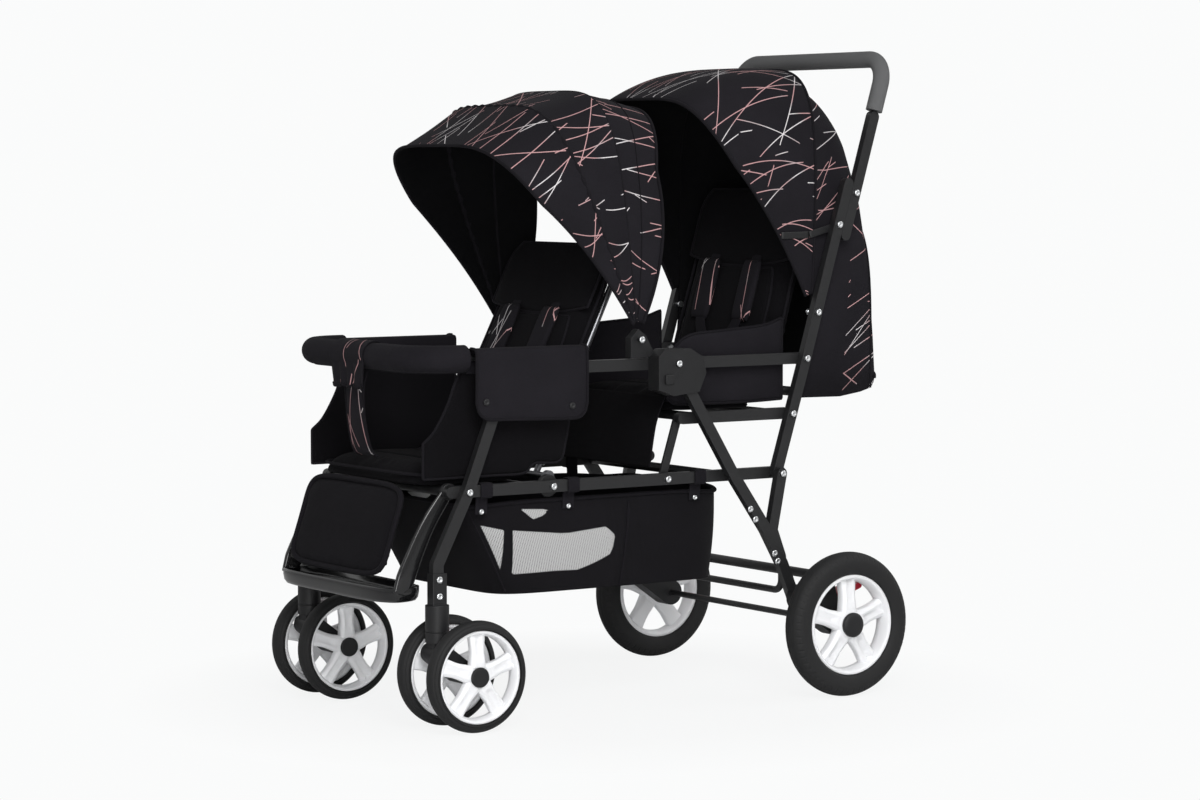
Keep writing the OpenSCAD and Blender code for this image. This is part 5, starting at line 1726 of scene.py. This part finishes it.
class PUSHCHAIR_OT_pads(bpy.types.Operator):
    """Builds the seat cushions, the backs and the calf panel."""

    bl_idname = "pushchair.pads"
    bl_label = "Pads"

    def execute(self, context):
        make_pads()
        return {"FINISHED"}


class PUSHCHAIR_OT_harnesses(bpy.types.Operator):
    """Builds the head panels, inserts, shoulder pads and buckles."""

    bl_idname = "pushchair.harnesses"
    bl_label = "Harnesses"

    def execute(self, context):
        make_harnesses()
        return {"FINISHED"}


class PUSHCHAIR_OT_seat_sides(bpy.types.Operator):
    """Builds the side panels, the footwell panel and the arm flaps."""

    bl_idname = "pushchair.seat_sides"
    bl_label = "Seat sides"

    def execute(self, context):
        make_seat_sides()
        return {"FINISHED"}


class PUSHCHAIR_OT_front_canopy(bpy.types.Operator):
    """Builds the three panels of the front canopy."""

    bl_idname = "pushchair.front_canopy"
    bl_label = "Front canopy"

    def execute(self, context):
        make_front_canopy()
        return {"FINISHED"}


class PUSHCHAIR_OT_rear_canopy(bpy.types.Operator):
    """Builds the rear canopy, its cover and its stays."""

    bl_idname = "pushchair.rear_canopy"
    bl_label = "Rear canopy"

    def execute(self, context):
        make_rear_canopy()
        return {"FINISHED"}


class PUSHCHAIR_OT_bumper(bpy.types.Operator):
    """Builds the bumper padding and its strap."""

    bl_idname = "pushchair.bumper"
    bl_label = "Bumper"

    def execute(self, context):
        make_bumper()
        return {"FINISHED"}


class PUSHCHAIR_OT_basket(bpy.types.Operator):
    """Builds the basket, its hem, webbing and snaps."""

    bl_idname = "pushchair.basket"
    bl_label = "Basket"

    def execute(self, context):
        make_basket()
        return {"FINISHED"}


class PUSHCHAIR_OT_footrest(bpy.types.Operator):
    """Builds the footrest tray, its arms and its collars."""

    bl_idname = "pushchair.footrest"
    bl_label = "Footrest"

    def execute(self, context):
        make_footrest()
        return {"FINISHED"}


class PUSHCHAIR_OT_wheels(bpy.types.Operator):
    """Builds the tyres and the rims."""

    bl_idname = "pushchair.wheels"
    bl_label = "Wheels"

    def execute(self, context):
        make_wheels()
        return {"FINISHED"}


class PUSHCHAIR_OT_hard_parts(bpy.types.Operator):
    """Eases and finishes tubes, housings, levers, pins and caps."""

    bl_idname = "pushchair.hard_parts"
    bl_label = "Hard parts"

    def execute(self, context):
        make_hard_parts()
        return {"FINISHED"}


STEPS = (
    PUSHCHAIR_OT_finishes,
    PUSHCHAIR_OT_stage,
    PUSHCHAIR_OT_pads,
    PUSHCHAIR_OT_harnesses,
    PUSHCHAIR_OT_seat_sides,
    PUSHCHAIR_OT_front_canopy,
    PUSHCHAIR_OT_rear_canopy,
    PUSHCHAIR_OT_bumper,
    PUSHCHAIR_OT_basket,
    PUSHCHAIR_OT_footrest,
    PUSHCHAIR_OT_wheels,
    PUSHCHAIR_OT_hard_parts,
)
SETTINGS = (
    ("pushchair_cloth", PushchairCloth),
    ("pushchair_frame", PushchairFrame),
    ("pushchair_stage", PushchairStage),
)


class PUSHCHAIR_PT_panel(bpy.types.Panel):
    """Lists the settings and the steps in the sidebar."""

    bl_idname = "PUSHCHAIR_PT_panel"
    bl_label = "Tandem pushchair"
    bl_space_type = "VIEW_3D"
    bl_region_type = "UI"
    bl_category = "Pushchair"

    def draw(self, context):
        for name, kind in SETTINGS:
            box = self.layout.box()
            for key in kind.__annotations__:
                box.prop(getattr(context.scene, name), key)
        for step in STEPS:
            self.layout.operator(step.bl_idname)


def register():
    """Registers the settings, the steps and the panel."""
    for name, kind in SETTINGS:
        bpy.utils.register_class(kind)
        setattr(bpy.types.Scene, name, bpy.props.PointerProperty(type=kind))
    for kind in STEPS + (PUSHCHAIR_PT_panel,):
        bpy.utils.register_class(kind)


def unregister():
    """Takes the panel, the steps and the settings away again."""
    for kind in (PUSHCHAIR_PT_panel,) + STEPS[::-1]:
        bpy.utils.unregister_class(kind)
    for name, kind in SETTINGS[::-1]:
        delattr(bpy.types.Scene, name)
        bpy.utils.unregister_class(kind)


def main():
    """Registers the add-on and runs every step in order."""
    register()
    for step in STEPS:
        family, name = step.bl_idname.split(".")
        getattr(getattr(bpy.ops, family), name)()


if __name__ == "__main__":
    main()
